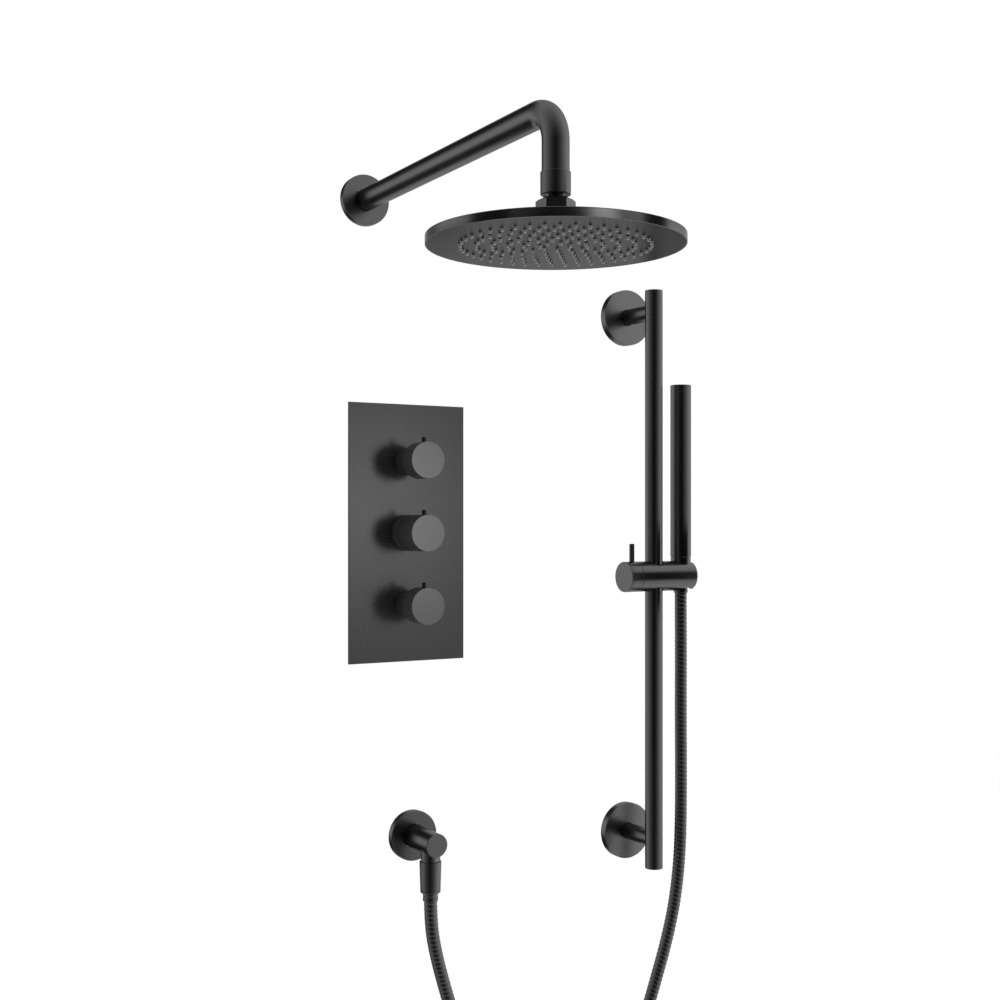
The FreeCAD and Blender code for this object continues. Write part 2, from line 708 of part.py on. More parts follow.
def hose_nut(top):
    """A conical hose nut: a G 1/2 socket above, and a hole for the hose's collar below."""
    ring = hose_nut_length - 3.0
    outside = lathe(
        [(0, 0), (hose_nut_top_r - 0.4, 0), (hose_nut_radius(0.4), -0.4),
         (hose_nut_radius(ring), -ring), (hose_nut_radius(ring) - groove_depth, -ring - 0.4),
         (hose_nut_radius(ring + 0.8), -ring - 0.8), (hose_nut_foot_r, -hose_nut_length + 0.4),
         (hose_nut_foot_r - 0.4, -hose_nut_length), (0, -hose_nut_length)],
        top, Z)
    socket = rod(thread_bore_r, top, DOWN, hose_nut_length - hose_nut_wall_end)
    return outside.cut(socket).cut(rod(waterway_r, top, DOWN, hose_nut_length))


def hose_parts():
    export("hose_nut_outlet", hose_nut(Vector(outlet_x, outlet_drop_y, outlet_nut_top)))
    export("hose_nut_handset", hose_nut(Vector(handset_x, rail_y, handset_bottom - gap)))
    export("hose_ferrule_outlet",
           tube(ferrule_r, hose_r + touch, hose_start, DOWN, ferrule_length))
    export("hose_ferrule_handset",
           tube(ferrule_r, hose_r + touch, hose_end, DOWN, ferrule_length))
    export("hose_lower", swept_tube([hose_start] + lower_points + [hose_seam], hose_r))
    export("hose_upper", swept_tube([hose_seam] + upper_points + [hose_end], hose_r))


# ---- wall outlet --------------------------------------------------------------------------

def outlet_parts():
    foot = Vector(outlet_x, 0, outlet_z)
    export("outlet_wall_disc", wall_disc(outlet_disc_r, outlet_disc_t, outlet_r + gap, foot))
    drop = Vector(outlet_x, outlet_drop_y, outlet_z)
    neck_length = outlet_z - outlet_nut_top - gap
    thread_length = 12.0
    elbow = bevelled(outlet_r, outlet_face, 0.6, foot, ROOM)
    elbow = elbow.fuse(rod(outlet_neck_r, drop, DOWN, neck_length))
    elbow = elbow.fuse(rod(thread_r - touch, drop, DOWN, neck_length + gap + thread_length))
    elbow = elbow.cut(rod(outlet_bore_r, foot, ROOM, outlet_face - 6))
    elbow = elbow.cut(rod(waterway_r, drop, DOWN, neck_length + gap + thread_length))
    export("outlet_elbow", elbow.removeSplitter())
    export("outlet_wall_nipple", wall_nipple(outlet_bore_r - touch, 12, foot))
    check = tube(outlet_bore_r - touch, 4.0, foot + ROOM * 14, ROOM, check_valve_length)
    export("outlet_check_valve", check)


arm_parts()
head_parts(*ball_joint_parts())
valve_parts()
rail_parts()
slider_parts()
handset_parts()
hose_parts()
outlet_parts()
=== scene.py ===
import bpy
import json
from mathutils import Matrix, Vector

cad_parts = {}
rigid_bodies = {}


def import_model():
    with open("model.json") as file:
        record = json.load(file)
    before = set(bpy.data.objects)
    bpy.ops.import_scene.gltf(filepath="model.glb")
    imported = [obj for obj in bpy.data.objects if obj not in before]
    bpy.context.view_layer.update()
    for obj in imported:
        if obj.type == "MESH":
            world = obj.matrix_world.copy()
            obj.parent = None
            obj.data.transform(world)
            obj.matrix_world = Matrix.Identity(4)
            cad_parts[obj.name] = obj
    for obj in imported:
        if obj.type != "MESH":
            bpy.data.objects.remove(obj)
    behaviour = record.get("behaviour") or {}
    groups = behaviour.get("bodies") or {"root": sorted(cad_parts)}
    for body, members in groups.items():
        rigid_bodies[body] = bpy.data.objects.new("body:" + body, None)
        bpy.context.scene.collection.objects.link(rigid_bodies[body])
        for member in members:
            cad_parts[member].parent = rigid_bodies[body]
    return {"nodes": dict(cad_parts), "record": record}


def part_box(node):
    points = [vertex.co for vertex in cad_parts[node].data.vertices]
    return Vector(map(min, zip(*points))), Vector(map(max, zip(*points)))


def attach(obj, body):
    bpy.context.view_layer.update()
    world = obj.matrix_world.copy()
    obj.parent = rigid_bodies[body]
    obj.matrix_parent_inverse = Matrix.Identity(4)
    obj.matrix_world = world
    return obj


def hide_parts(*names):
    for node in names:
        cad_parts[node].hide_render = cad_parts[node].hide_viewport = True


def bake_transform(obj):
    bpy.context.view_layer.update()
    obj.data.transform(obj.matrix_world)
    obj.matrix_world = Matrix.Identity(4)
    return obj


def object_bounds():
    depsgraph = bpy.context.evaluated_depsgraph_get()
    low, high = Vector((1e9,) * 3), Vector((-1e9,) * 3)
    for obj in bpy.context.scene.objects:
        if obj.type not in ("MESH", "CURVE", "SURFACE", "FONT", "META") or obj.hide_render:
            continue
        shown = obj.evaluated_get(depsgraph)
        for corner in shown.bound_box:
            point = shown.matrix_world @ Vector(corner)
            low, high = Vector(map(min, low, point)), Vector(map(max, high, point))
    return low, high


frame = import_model()
cad_size = [list(corner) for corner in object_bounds()]

import json
import math

import bmesh
import bpy
import numpy as np
from bpy.props import FloatProperty, FloatVectorProperty, IntProperty, PointerProperty
from mathutils import Vector

bl_info = {
    "name": "Concealed shower set",
    "version": (1, 0, 0),
    "blender": (4, 5, 0),
    "location": "3D View > Sidebar > Shower set",
    "description": "Builds the finished pieces of a concealed shower set round its packed CAD frame",
    "category": "Object",
}

# Tables and arguments below are in millimetres in the frame's own axes: X to the right, Y into the
# wall, Z up. Meshes are brought to metres when they are made.
MM = 0.001
X, Y, Z = Vector((1, 0, 0)), Vector((0, 1, 0)), Vector((0, 0, 1))
ROOM, DOWN, LEFT = -Y, -Z, -X


# ---- meshes ----

def span(node):
    """A CAD node's lowest and highest corner, in millimetres."""
    low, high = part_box(node)
    return Vector(low) / MM, Vector(high) / MM


def middle(node):
    low, high = span(node)
    return (low + high) / 2


def measure(node, axis=Z):
    """A round CAD node's foot along its axis, its radius and its length, in millimetres."""
    low, high = span(node)
    size = high - low
    length = abs(size.dot(axis))
    radius = (size.z if axis == X else size.x) / 2
    return (low + high) / 2 - axis * length / 2, radius, length


def link(name, mesh):
    obj = bpy.data.objects.new(name, mesh)
    bpy.context.scene.collection.objects.link(obj)
    return obj


def tidy(mesh):
    """Merges doubles, joins the seams and turns the faces outwards."""
    work = bmesh.new()
    work.from_mesh(mesh)
    bmesh.ops.remove_doubles(work, verts=work.verts, dist=1e-7)
    bmesh.ops.recalc_face_normals(work, faces=work.faces)
    work.to_mesh(mesh)
    work.free()
    mesh.update()


def mesh_piece(name, vertices, faces):
    """A piece from vertices in millimetres."""
    mesh = bpy.data.meshes.new(name)
    mesh.from_pydata([Vector(v) * MM for v in vertices], [], faces)
    tidy(mesh)
    return link(name, mesh)


def settle(obj):
    """Turns a piece with modifiers into a plain mesh."""
    graph = bpy.context.evaluated_depsgraph_get()
    mesh = bpy.data.meshes.new_from_object(obj.evaluated_get(graph), depsgraph=graph)
    obj.modifiers.clear()
    obj.data = mesh
    return obj


def smooth(obj):
    """Smooth shading inside an edge angle, with large faces keeping their own normal."""
    obj.data.shade_smooth()
    obj.data.set_sharp_from_angle(angle=math.radians(33))
    modifier = obj.modifiers.new("weighted", "WEIGHTED_NORMAL")
    modifier.keep_sharp = True
    settle(obj)


def rounded(corners):
    """A closed profile's points; a corner's third number is how far its rounding reaches."""
    points = []
    for i, corner in enumerate(corners):
        here = Vector(corner[:2])
        if len(corner) == 2:
            points.append(here)
            continue
        back = Vector(corners[i - 1][:2]) - here
        on = Vector(corners[(i + 1) % len(corners)][:2]) - here
        reach = min(corner[2], 0.48 * back.length, 0.48 * on.length)
        start, end = here + back.normalized() * reach, here + on.normalized() * reach
        for t in (0, 0.25, 0.5, 0.75, 1):
            points.append(start * (1 - t) ** 2 + here * 2 * t * (1 - t) + end * t * t)
    return points


def turned(name, corners, base, axis, sides=96):
    """A turned piece from a closed profile of (radius, height) corners along axis from base."""
    across = axis.orthogonal().normalized()
    up = axis.cross(across)
    vertices, rings = [], []
    for radius, height in rounded(corners):
        centre = base + axis * height
        if radius < 1e-6:
            rings.append([len(vertices)] * sides)
            vertices.append(centre)
            continue
        rings.append(range(len(vertices), len(vertices) + sides))
        for i in range(sides):
            turn = 2 * math.pi * i / sides
            vertices.append(centre + (across * math.cos(turn) + up * math.sin(turn)) * radius)
    faces = []
    for here, after in zip(rings, rings[1:] + rings[:1]):
        for i in range(sides):
            j = (i + 1) % sides
            face = list(dict.fromkeys((here[i], here[j], after[j], after[i])))
            if len(face) > 2:
                faces.append(face)
    return mesh_piece(name, vertices, faces)


def plug(radius, base, axis, length, sides=64):
    """A plain round cutter."""
    return turned("cutter", [(0, 0), (radius, 0), (radius, length), (0, length)], base, axis, sides)


def block(low, high):
    """A plain square cutter."""
    mesh = bpy.data.meshes.new("cutter")
    work = bmesh.new()
    bmesh.ops.create_cube(work, size=1)
    for vertex in work.verts:
        vertex.co = Vector([(a + b) / 2 + c * (b - a) for a, b, c in zip(low, high, vertex.co)]) * MM
    work.to_mesh(mesh)
    work.free()
    return link("cutter", mesh)


def carve(obj, *tools, operation="DIFFERENCE"):
    """Cuts tools out of a piece, or joins them to it."""
    for tool in tools:
        modifier = obj.modifiers.new("carve", "BOOLEAN")
        modifier.operation = operation
        modifier.solver = "EXACT"
        modifier.object = tool
    settle(obj)
    for tool in tools:
        bpy.data.objects.remove(tool)
    return obj


def place(obj, node, material, body="root", slot="matt_black"):
    """Finishes a piece: its material, its body and the CAD node it stands for; the slot argument is not
    used.
    """
    obj.data.materials.clear()
    obj.data.materials.append(material)
    smooth(obj)
    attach(obj, body)
    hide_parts(node)


def pin(name, node, radius, foot, length, material, body, sides):
    """A round pin that stands on its foot, rounded at its top."""
    made = turned(name, [(0, 0), (radius, 0), (radius, length, 0.9), (0, length)], foot, Z, sides)
    place(made, node, material, body)


# ---- node trees ----

def add(tree, kind, inputs=(), **settings):
    """A node with its settings, and its inputs linked or set."""
    made = tree.nodes.new(kind)
    for key, value in settings.items():
        setattr(made, key, value)
    for key, value in dict(inputs).items():
        if isinstance(value, bpy.types.NodeSocket):
            tree.links.new(value, made.inputs[key])
        else:
            made.inputs[key].default_value = value
    return made


def maths(tree, operation, *values):
    return add(tree, "ShaderNodeMath", dict(enumerate(values)), operation=operation).outputs[0]


def vector_maths(tree, operation, *values, output=0):
    made = add(tree, "ShaderNodeVectorMath", dict(enumerate(values)), operation=operation)
    return made.outputs[output]


def scaled(tree, vector, scale):
    return add(tree, "ShaderNodeVectorMath", {0: vector, "Scale": scale}, operation="SCALE").outputs[0]


def ranged(tree, value, low, high, to_low, to_high, curve="LINEAR"):
    """A value brought from one range to another, and held inside it."""
    return add(tree, "ShaderNodeMapRange", {0: value, 1: low, 2: high, 3: to_low, 4: to_high},
               interpolation_type=curve).outputs[0]


def place_on_object(tree):
    return add(tree, "ShaderNodeTexCoord").outputs["Object"]


def noise(tree, spot, scale, detail=2.0, roughness=0.5):
    """Noise from 0 to 1."""
    return add(tree, "ShaderNodeTexNoise", {
        "Vector": spot, "Scale": scale, "Detail": detail, "Roughness": roughness}).outputs["Fac"]


def node_group(name, kind, inputs, outputs):
    """An empty group with named sockets, its input node and its output node."""
    group = bpy.data.node_groups.new(name, kind)
    for label, socket, default in inputs:
        made = group.interface.new_socket(label, in_out="INPUT", socket_type=socket)
        if default is not None:
            made.default_value = default
    for label, socket in outputs:
        group.interface.new_socket(label, in_out="OUTPUT", socket_type=socket)
    return group, group.nodes.new("NodeGroupInput").outputs, group.nodes.new("NodeGroupOutput").inputs


FLOAT, INT, VECTOR = "NodeSocketFloat", "NodeSocketInt", "NodeSocketVector"
COLOR, MATERIAL, GEOMETRY = "NodeSocketColor", "NodeSocketMaterial", "NodeSocketGeometry"


def geometry_tree(name, inputs):
    """An empty geometry tree; close_tree ends it."""
    listed = [("Geometry", GEOMETRY, None), *inputs, ("Material", MATERIAL, None)]
    return node_group(name, "GeometryNodeTree", listed, [("Geometry", GEOMETRY)])


def close_tree(group, given, result, geometry):
    """Ends a tree in real geometry with its material."""
    real = add(group, "GeometryNodeRealizeInstances", {"Geometry": geometry}).outputs[0]
    painted = add(group, "GeometryNodeSetMaterial", {"Geometry": real, "Material": given["Material"]})
    group.links.new(painted.outputs[0], result["Geometry"])
    return group


def run_tree(obj, group, values):
    """Runs a geometry tree on a piece and keeps its result as a plain mesh."""
    modifier = obj.modifiers.new(group.name, "NODES")
    modifier.node_group = group
    for item in group.interface.items_tree:
        if item.in_out == "INPUT" and item.name in values:
            modifier[item.identifier] = values[item.name]
    return settle(obj)


def bent_bar_tree():
    """A round bar along the piece's edges, with its corners bent to a radius."""
    group, given, result = geometry_tree("Bent bar", [
        ("Radius", FLOAT, 0.0125), ("Bend radius", FLOAT, 0.03), ("Bend steps", INT, 32),
        ("Sides", INT, 96)])
    line = add(group, "GeometryNodeMeshToCurve", {"Mesh": given["Geometry"]}).outputs[0]
    bent = add(group, "GeometryNodeFilletCurve", {
        "Curve": line, "Count": given["Bend steps"], "Radius": given["Bend radius"]}, mode="POLY")
    ring = add(group, "GeometryNodeCurvePrimitiveCircle", {
        "Resolution": given["Sides"], "Radius": given["Radius"]})
    bar = add(group, "GeometryNodeCurveToMesh", {
        "Curve": bent.outputs[0], "Profile Curve": ring.outputs[0], "Fill Caps": True})
    return close_tree(group, given, result, bar.outputs[0])


def row_tree():
    """Copies of the piece at equal steps."""
    group, given, result = geometry_tree("Row of copies", [
        ("Count", INT, 2), ("Step", VECTOR, (0, 0, 0.1))])
    line = add(group, "GeometryNodeMeshLine", {"Count": given["Count"], "Offset": given["Step"]})
    copies = add(group, "GeometryNodeInstanceOnPoints", {
        "Points": line.outputs[0], "Instance": given["Geometry"]})
    return close_tree(group, given, result, copies.outputs[0])


def ring_tree(ring_count):
    """Nozzles on evenly spaced rings, each ring with as many more as its number, on a round mat."""
    group, given, result = geometry_tree("Nozzle mat", [
        ("Ring spacing", FLOAT, 0.014), ("Nozzles per ring step", INT, 7),
        ("Lean", FLOAT, 0.02), ("Seed", INT, 4), ("Mat radius", FLOAT, 0.09),
        ("Mat thickness", FLOAT, 0.0015), ("Place", VECTOR, (0, 0, 0))])
    rings = add(group, "GeometryNodeJoinGeometry")
    for number in range(1, ring_count + 1):
        circle = add(group, "GeometryNodeMeshCircle", {
            "Vertices": maths(group, "MULTIPLY", given["Nozzles per ring step"], number),
            "Radius": maths(group, "MULTIPLY", given["Ring spacing"], number)})
        group.links.new(circle.outputs[0], rings.inputs[0])
    lean = vector_maths(group, "MULTIPLY", (1, 1, 0), given["Lean"])
    back = vector_maths(group, "MULTIPLY", (-1, -1, 0), given["Lean"])
    random = add(group, "FunctionNodeRandomValue", {
        0: back, 1: lean, "Seed": given["Seed"]}, data_type="FLOAT_VECTOR")
    teats = add(group, "GeometryNodeInstanceOnPoints", {
        "Points": rings.outputs[0], "Instance": given["Geometry"], "Rotation": random.outputs[0]})
    mat = add(group, "GeometryNodeMeshCylinder", {
        "Vertices": 128, "Radius": given["Mat radius"], "Depth": given["Mat thickness"]})
    lift = add(group, "ShaderNodeCombineXYZ", {2: maths(group, "MULTIPLY", given["Mat thickness"], 0.5)})
    laid = add(group, "GeometryNodeTransform", {
        "Geometry": mat.outputs[0], "Translation": lift.outputs[0]})
    both = add(group, "GeometryNodeJoinGeometry", {0: teats.outputs[0]})
    group.links.new(laid.outputs[0], both.inputs[0])
    moved = add(group, "GeometryNodeTransform", {
        "Geometry": both.outputs[0], "Translation": given["Place"]})
    return close_tree(group, given, result, moved.outputs[0])


def field_tree():
    """Copies of the piece on a grid in the YZ plane."""
    group, given, result = geometry_tree("Field of copies", [
        ("Columns", INT, 3), ("Rows", INT, 9), ("Width", FLOAT, 0.01), ("Height", FLOAT, 0.08),
        ("Place", VECTOR, (0, 0, 0))])
    grid = add(group, "GeometryNodeMeshGrid", {
        "Size X": given["Height"], "Size Y": given["Width"],
        "Vertices X": given["Rows"], "Vertices Y": given["Columns"]})
    stood = add(group, "GeometryNodeTransform", {
        "Geometry": grid.outputs[0], "Translation": given["Place"],
        "Rotation": (0, math.radians(90), 0)})
    copies = add(group, "GeometryNodeInstanceOnPoints", {
        "Points": stood.outputs[0], "Instance": given["Geometry"]})
    return close_tree(group, given, result, copies.outputs[0])


# ---- finishes ----

def turned_grain_group():
    """Fine rings left by turning and brushing round an axis: streaks from 0 to 1, and the same noise in
    broad rings, which the coating uses for a painted reflection in rings.
    """
    group, given, result = node_group("Turned grain", "ShaderNodeTree", [
        ("Centre", VECTOR, (0, 0, 0)), ("Axis", VECTOR, (0, 0, 1)), ("Fineness", FLOAT, 2500.0),
        ("Drift", FLOAT, 12.0)], [("Streaks", FLOAT), ("Bands", FLOAT)])
    offset = vector_maths(group, "SUBTRACT", place_on_object(group), given["Centre"])
    along = vector_maths(group, "DOT_PRODUCT", offset, given["Axis"], output=1)
    sideways = vector_maths(group, "SUBTRACT", offset, scaled(group, given["Axis"], along))
    out = vector_maths(group, "LENGTH", sideways, output=1)
    slow = vector_maths(group, "DOT_PRODUCT", offset, (1.0, 0.7, 0.4), output=1)
    swirl = maths(group, "MULTIPLY", slow, given["Drift"])
    for label, scale in (("Streaks", 1.0), ("Bands", 0.06)):
        fine = maths(group, "MULTIPLY", given["Fineness"], scale)
        where = add(group, "ShaderNodeCombineXYZ", {
            0: maths(group, "MULTIPLY", along, fine), 1: maths(group, "MULTIPLY", out, fine), 2: swirl})
        group.links.new(noise(group, where.outputs[0], 1.0, 3.0, 0.6), result[label])
    return group


def flat_grain_group():
    """Streaks along one direction of a flat sheet, from 0 to 1."""
    group, given, result = node_group("Flat grain", "ShaderNodeTree", [
        ("Stretch", VECTOR, (60, 60, 2500))], [("Streaks", FLOAT)])
    where = vector_maths(group, "MULTIPLY", place_on_object(group), given["Stretch"])
    group.links.new(noise(group, where, 1.0, 3.0, 0.6), result["Streaks"])
    return group


def handling_group():
    """Edge wear and the soft patches that hands and water leave."""
    group, given, result = node_group("Handling", "ShaderNodeTree", [
        ("Color", COLOR, (0.2, 0.2, 0.2, 1)), ("Worn", COLOR, (0.4, 0.4, 0.4, 1)),
        ("Wear", FLOAT, 0.5), ("Patch scale", FLOAT, 14.0), ("Patch depth", FLOAT, 0.1)],
        [("Color", COLOR), ("Patches", FLOAT)])
    spot = place_on_object(group)
    patches = noise(group, spot, given["Patch scale"])
    crumbs = noise(group, spot, 700.0, 3.0)
    facing = add(group, "ShaderNodeNewGeometry").outputs["Normal"]
    eased = add(group, "ShaderNodeBevel", {"Radius": 0.0006}, samples=4).outputs[0]
    flat = vector_maths(group, "DOT_PRODUCT", facing, eased, output=1)
    edge = ranged(group, flat, 0.995, 0.90, 0.0, 1.0)
    broken = ranged(group, crumbs, 0.35, 0.65, 0.35, 1.0)
    amount = maths(group, "MULTIPLY", maths(group, "MULTIPLY", edge, broken), given["Wear"])
    lean = maths(group, "SUBTRACT", patches, 0.5)
    shade = maths(group, "ADD", maths(group, "MULTIPLY", lean, given["Patch depth"]), 1.0)
    tinted = scaled(group, given["Color"], shade)
    worn = add(group, "ShaderNodeMix", {0: amount, 6: tinted, 7: given["Worn"]}, data_type="RGBA")
    group.links.new(worn.outputs[2], result["Color"])
    group.links.new(patches, result["Patches"])
    return group


def new_material(name):
    material = bpy.data.materials.new(name)
    material.use_nodes = True
    material.node_tree.nodes.clear()
    return material, material.node_tree


def grey(value):
    return (value, value, value * 1.01, 1)


GROUPS = {}


def group_node(tree, name, inputs=()):
    return add(tree, "ShaderNodeGroup", inputs, node_tree=GROUPS[name]).outputs


def end_material(tree, color, roughness, height, bump, distance, **shader):
    """The shader of one finish, with its bump."""
    normal = add(tree, "ShaderNodeBump", {
        "Strength": bump, "Distance": distance, "Height": height}).outputs[0]
    inputs = {"Base Color": color, "Roughness": roughness, "Normal": normal}
    inputs.update({key.replace("_", " "): value for key, value in shader.items()})
    bsdf = add(tree, "ShaderNodeBsdfPrincipled", inputs)
    add(tree, "ShaderNodeOutputMaterial", {"Surface": bsdf.outputs[0]})


def satin(name, centre=None, axis=Z, shade=1.0, ends=1.0, rough=0.0, reflection_ring_depth=0.0, stretch=None,
          wear=1.0, grain_depth=1.0, metal=1.0):
    """The dark satin coating, with grain round an axis, or along a flat sheet.

    shade scales the colour, and ends scales it again on the faces square to the axis. The scale by shade
    is painted light and shade: a lighter or darker copy of the one coating per piece. The scale on the end
    faces is a painted highlight, and the broad rings round the axis are a painted reflection.
    """
    look = bpy.context.scene.shower_finish
    material, tree = new_material(name)
    if centre is None:
        grain = band = group_node(tree, "Flat grain", {"Stretch": stretch})["Streaks"]
    else:
        turned_by = group_node(tree, "Turned grain", {"Centre": centre * MM, "Axis": axis})
        grain, band = turned_by["Streaks"], turned_by["Bands"]
    # painted light and shade: the coating's colour scaled per piece, a lighter or darker copy of the one
    # coating
    base = [c * shade for c in look.coating_color]
    handled = group_node(tree, "Handling", {
        "Color": (*base, 1), "Worn": (*[min(1, c * 1.9) for c in base], 1),
        "Wear": look.edge_wear * wear, "Patch depth": 0.12})
    # painted reflection: broad darker and lighter rings round the axis
    painted_reflection_rings = ranged(tree, band, 0.35, 0.65, 1 - reflection_ring_depth, 1 + reflection_ring_depth)
    # painted highlight: the faces square to the axis get a lighter colour than the sides
    facing = add(tree, "ShaderNodeNewGeometry").outputs["Normal"]
    square = maths(tree, "ABSOLUTE", vector_maths(tree, "DOT_PRODUCT", facing, axis, output=1))
    end_face_highlight = ranged(tree, square, 0.9, 0.99, 1.0, ends)
    color = scaled(tree, handled["Color"], maths(tree, "MULTIPLY", painted_reflection_rings, end_face_highlight))
    spread = maths(tree, "MULTIPLY", maths(tree, "SUBTRACT", grain, 0.5), look.grain_spread)
    patchy = maths(tree, "MULTIPLY", maths(tree, "SUBTRACT", handled["Patches"], 0.5), 0.08)
    roughness = maths(tree, "ADD", maths(tree, "ADD", spread, patchy), look.coating_roughness + rough)
    end_material(tree, color, roughness, grain, look.grain_depth * grain_depth, 0.00002,
                 Metallic=metal, Specular_Tint=grey(look.edge_tint))
    return material


def cast(name, color, roughness, metallic, bump, scale):
    """Cast, moulded or sawn stuff: fine pits, patches and worn edges."""
    material, tree = new_material(name)
    handled = group_node(tree, "Handling", {
        "Color": (*color, 1), "Worn": (*[min(1, c * 1.4) for c in color], 1), "Wear": 0.5,
        "Patch scale": 30.0, "Patch depth": 0.25})
    pits = noise(tree, place_on_object(tree), scale, 4.0)
    spread = maths(tree, "MULTIPLY", maths(tree, "SUBTRACT", pits, 0.5), 0.2)
    end_material(tree, handled["Color"], maths(tree, "ADD", spread, roughness), pits, bump, 0.0001,
                 Metallic=metallic)
    return material


# ---- sizes that a user would change ----

class ShowerSizes(bpy.types.PropertyGroup):
    """Sizes of the finished pieces that the frame's boxes don't give."""
    arm_bend: FloatProperty(
        name="Arm bend", description="Centre-line radius of the arm's bend", default=0.031,
        min=0.015, max=0.08, unit="LENGTH")
    edge_rounding: FloatProperty(
        name="Edge rounding", description="How far the rounding of turned edges reaches, in mm",
        default=0.6, min=0.1, max=2.0)
    nozzle_ring_step: FloatProperty(
        name="Ring spacing", description="Distance between the head's nozzle rings",
        default=0.0141667, unit="LENGTH")
    nozzle_rings: IntProperty(name="Nozzle rings", description="Rings of nozzles on the head", default=6)
    nozzles_per_step: IntProperty(
        name="Nozzles per step", description="Nozzles that each ring has more than the one inside it",
        default=7)
    rib_pitch: FloatProperty(
        name="Hose rib pitch", description="Distance between the hose's ribs", default=0.0052,
        unit="LENGTH")
    rib_depth: FloatProperty(
        name="Hose rib depth", description="Depth of the groove between two ribs", default=0.0006,
        unit="LENGTH")
    hose_radius: FloatProperty(
        name="Hose radius", description="Radius over the hose's ribs", default=0.00765, unit="LENGTH")


class ShowerFinish(bpy.types.PropertyGroup):
    """Colours and surface of the finishes."""
    coating_color: FloatVectorProperty(
        name="Coating", description="Colour of the satin coating's reflection", subtype="COLOR", size=3,
        default=(0.2, 0.2, 0.203), min=0, max=1)
    coating_roughness: FloatProperty(
        name="Coating roughness", description="Roughness of the satin coating", default=0.27,
        subtype="FACTOR", min=0, max=1)
    edge_tint: FloatProperty(
        name="Edge tint", description="Strength of the coating's reflection at a glancing angle",
        default=0.45, subtype="FACTOR", min=0, max=1)
    edge_wear: FloatProperty(
        name="Edge wear", description="How worn the coating is along its edges", default=0.35,
        subtype="FACTOR", min=0, max=1)
    grain_spread: FloatProperty(
        name="Grain", description="How much the grain changes the roughness", default=0.06,
        subtype="FACTOR", min=0, max=1)
    grain_depth: FloatProperty(
        name="Grain depth", description="Strength of the grain's bump", default=0.025,
        subtype="FACTOR", min=0, max=1)
    studio_white: FloatProperty(
        name="Studio light", description="Brightness of the studio behind the object", default=1.0,
        min=0, max=10)


# ---- hose ----

# The hose's route, the same points as the CAD hose.
OUTLET_END = (6.5, -49.6, -409.65)
HOSE_SEAM = (353.5, -64.9, -262.5)
HANDSET_END = (353.2, -64.9, -66.75)
LOWER_POINTS = [
    (6.6, -49.6, -443.0), (13.0, -49.8, -481.0), (27.0, -50.4, -530.0), (44.0, -51.2, -583.0),
    (63.0, -52.2, -637.0), (87.0, -53.4, -688.0), (121.0, -54.8, -729.0), (168.0, -56.4, -749.0),
    (217.0, -58.0, -741.0), (254.0, -59.6, -708.0), (278.0, -61.0, -661.0), (297.5, -62.2, -609.0),
    (315.0, -63.2, -560.0), (331.0, -64.0, -514.0), (343.5, -64.5, -468.0), (350.5, -64.8, -420.0),
    (353.3, -64.9, -372.0), (353.8, -64.9, -300.0),
]
UPPER_POINTS = [(353.2, -64.9, -225.0), (353.6, -64.9, -150.0), (353.2, -64.9, -100.0)]


def route_line(points):
    """The points of the smooth line that a route's control points make, in metres."""
    curve = bpy.data.curves.new("route", "CURVE")
    curve.dimensions = "3D"
    curve.resolution_u = 32
    spline = curve.splines.new("NURBS")
    spline.points.add(len(points) - 1)
    for point, spot in zip(spline.points, points):
        point.co = (*[value * MM for value in spot], 1)
    spline.order_u = 3
    spline.use_endpoint_u = True
    obj = link("route", curve)
    mesh = bpy.data.meshes.new_from_object(obj)
    line = np.array([v.co for v in mesh.vertices])
    bpy.data.objects.remove(obj)
    return line


def even_steps(line, step):
    """Points at equal steps along a line, its two ends included."""
    lengths = np.concatenate([[0], np.cumsum(np.linalg.norm(np.diff(line, axis=0), axis=1))])
    count = max(2, round(lengths[-1] / step) + 1)
    spots = np.linspace(0, lengths[-1], count)
    return np.stack([np.interp(spots, lengths, line[:, i]) for i in range(3)], axis=1), spots


def ribbed_hose(name, points, rib_start):
    """A hose with one helical rib along its route. Returns it, its ring centres and the rib's end."""
    sizes = bpy.context.scene.shower_sizes
    steps, sides, groove_sharpness = 14, 24, 10
    centres, spots = even_steps(route_line(points), sizes.rib_pitch / steps)
    ahead = np.gradient(centres, axis=0)
    ahead /= np.linalg.norm(ahead, axis=1, keepdims=True)
    side = np.array([0, 1.0, 0]) - ahead * ahead[:, 1:2]
    side /= np.linalg.norm(side, axis=1, keepdims=True)
    other = np.cross(ahead, side)
    turn = np.linspace(0, 2 * np.pi, sides, endpoint=False)
    phase = rib_start + spots / sizes.rib_pitch
    wave = phase[:, None] + turn[None, :] / (2 * np.pi)
    groove = np.cos(np.pi * wave) ** groove_sharpness
    radius = sizes.hose_radius - sizes.rib_depth * groove
    ring = np.cos(turn)[None, :, None] * side[:, None, :] + np.sin(turn)[None, :, None] * other[:, None, :]
    vertices = (centres[:, None, :] + ring * radius[:, :, None]).reshape(-1, 3)
    faces = []
    for i in range(len(centres) - 1):
        for j in range(sides):
            k = (j + 1) % sides
            faces.append((i * sides + j, i * sides + k, (i + 1) * sides + k, (i + 1) * sides + j))
    faces.append(tuple(range(sides)))
    faces.append(tuple(range((len(centres) - 1) * sides, len(centres) * sides)))
    mesh = bpy.data.meshes.new(name)
    mesh.from_pydata(vertices.tolist(), [], faces)
    tidy(mesh)
    mesh.shade_smooth()
    mesh.set_sharp_from_angle(angle=math.radians(60))
    return link(name, mesh), centres, phase[-1]


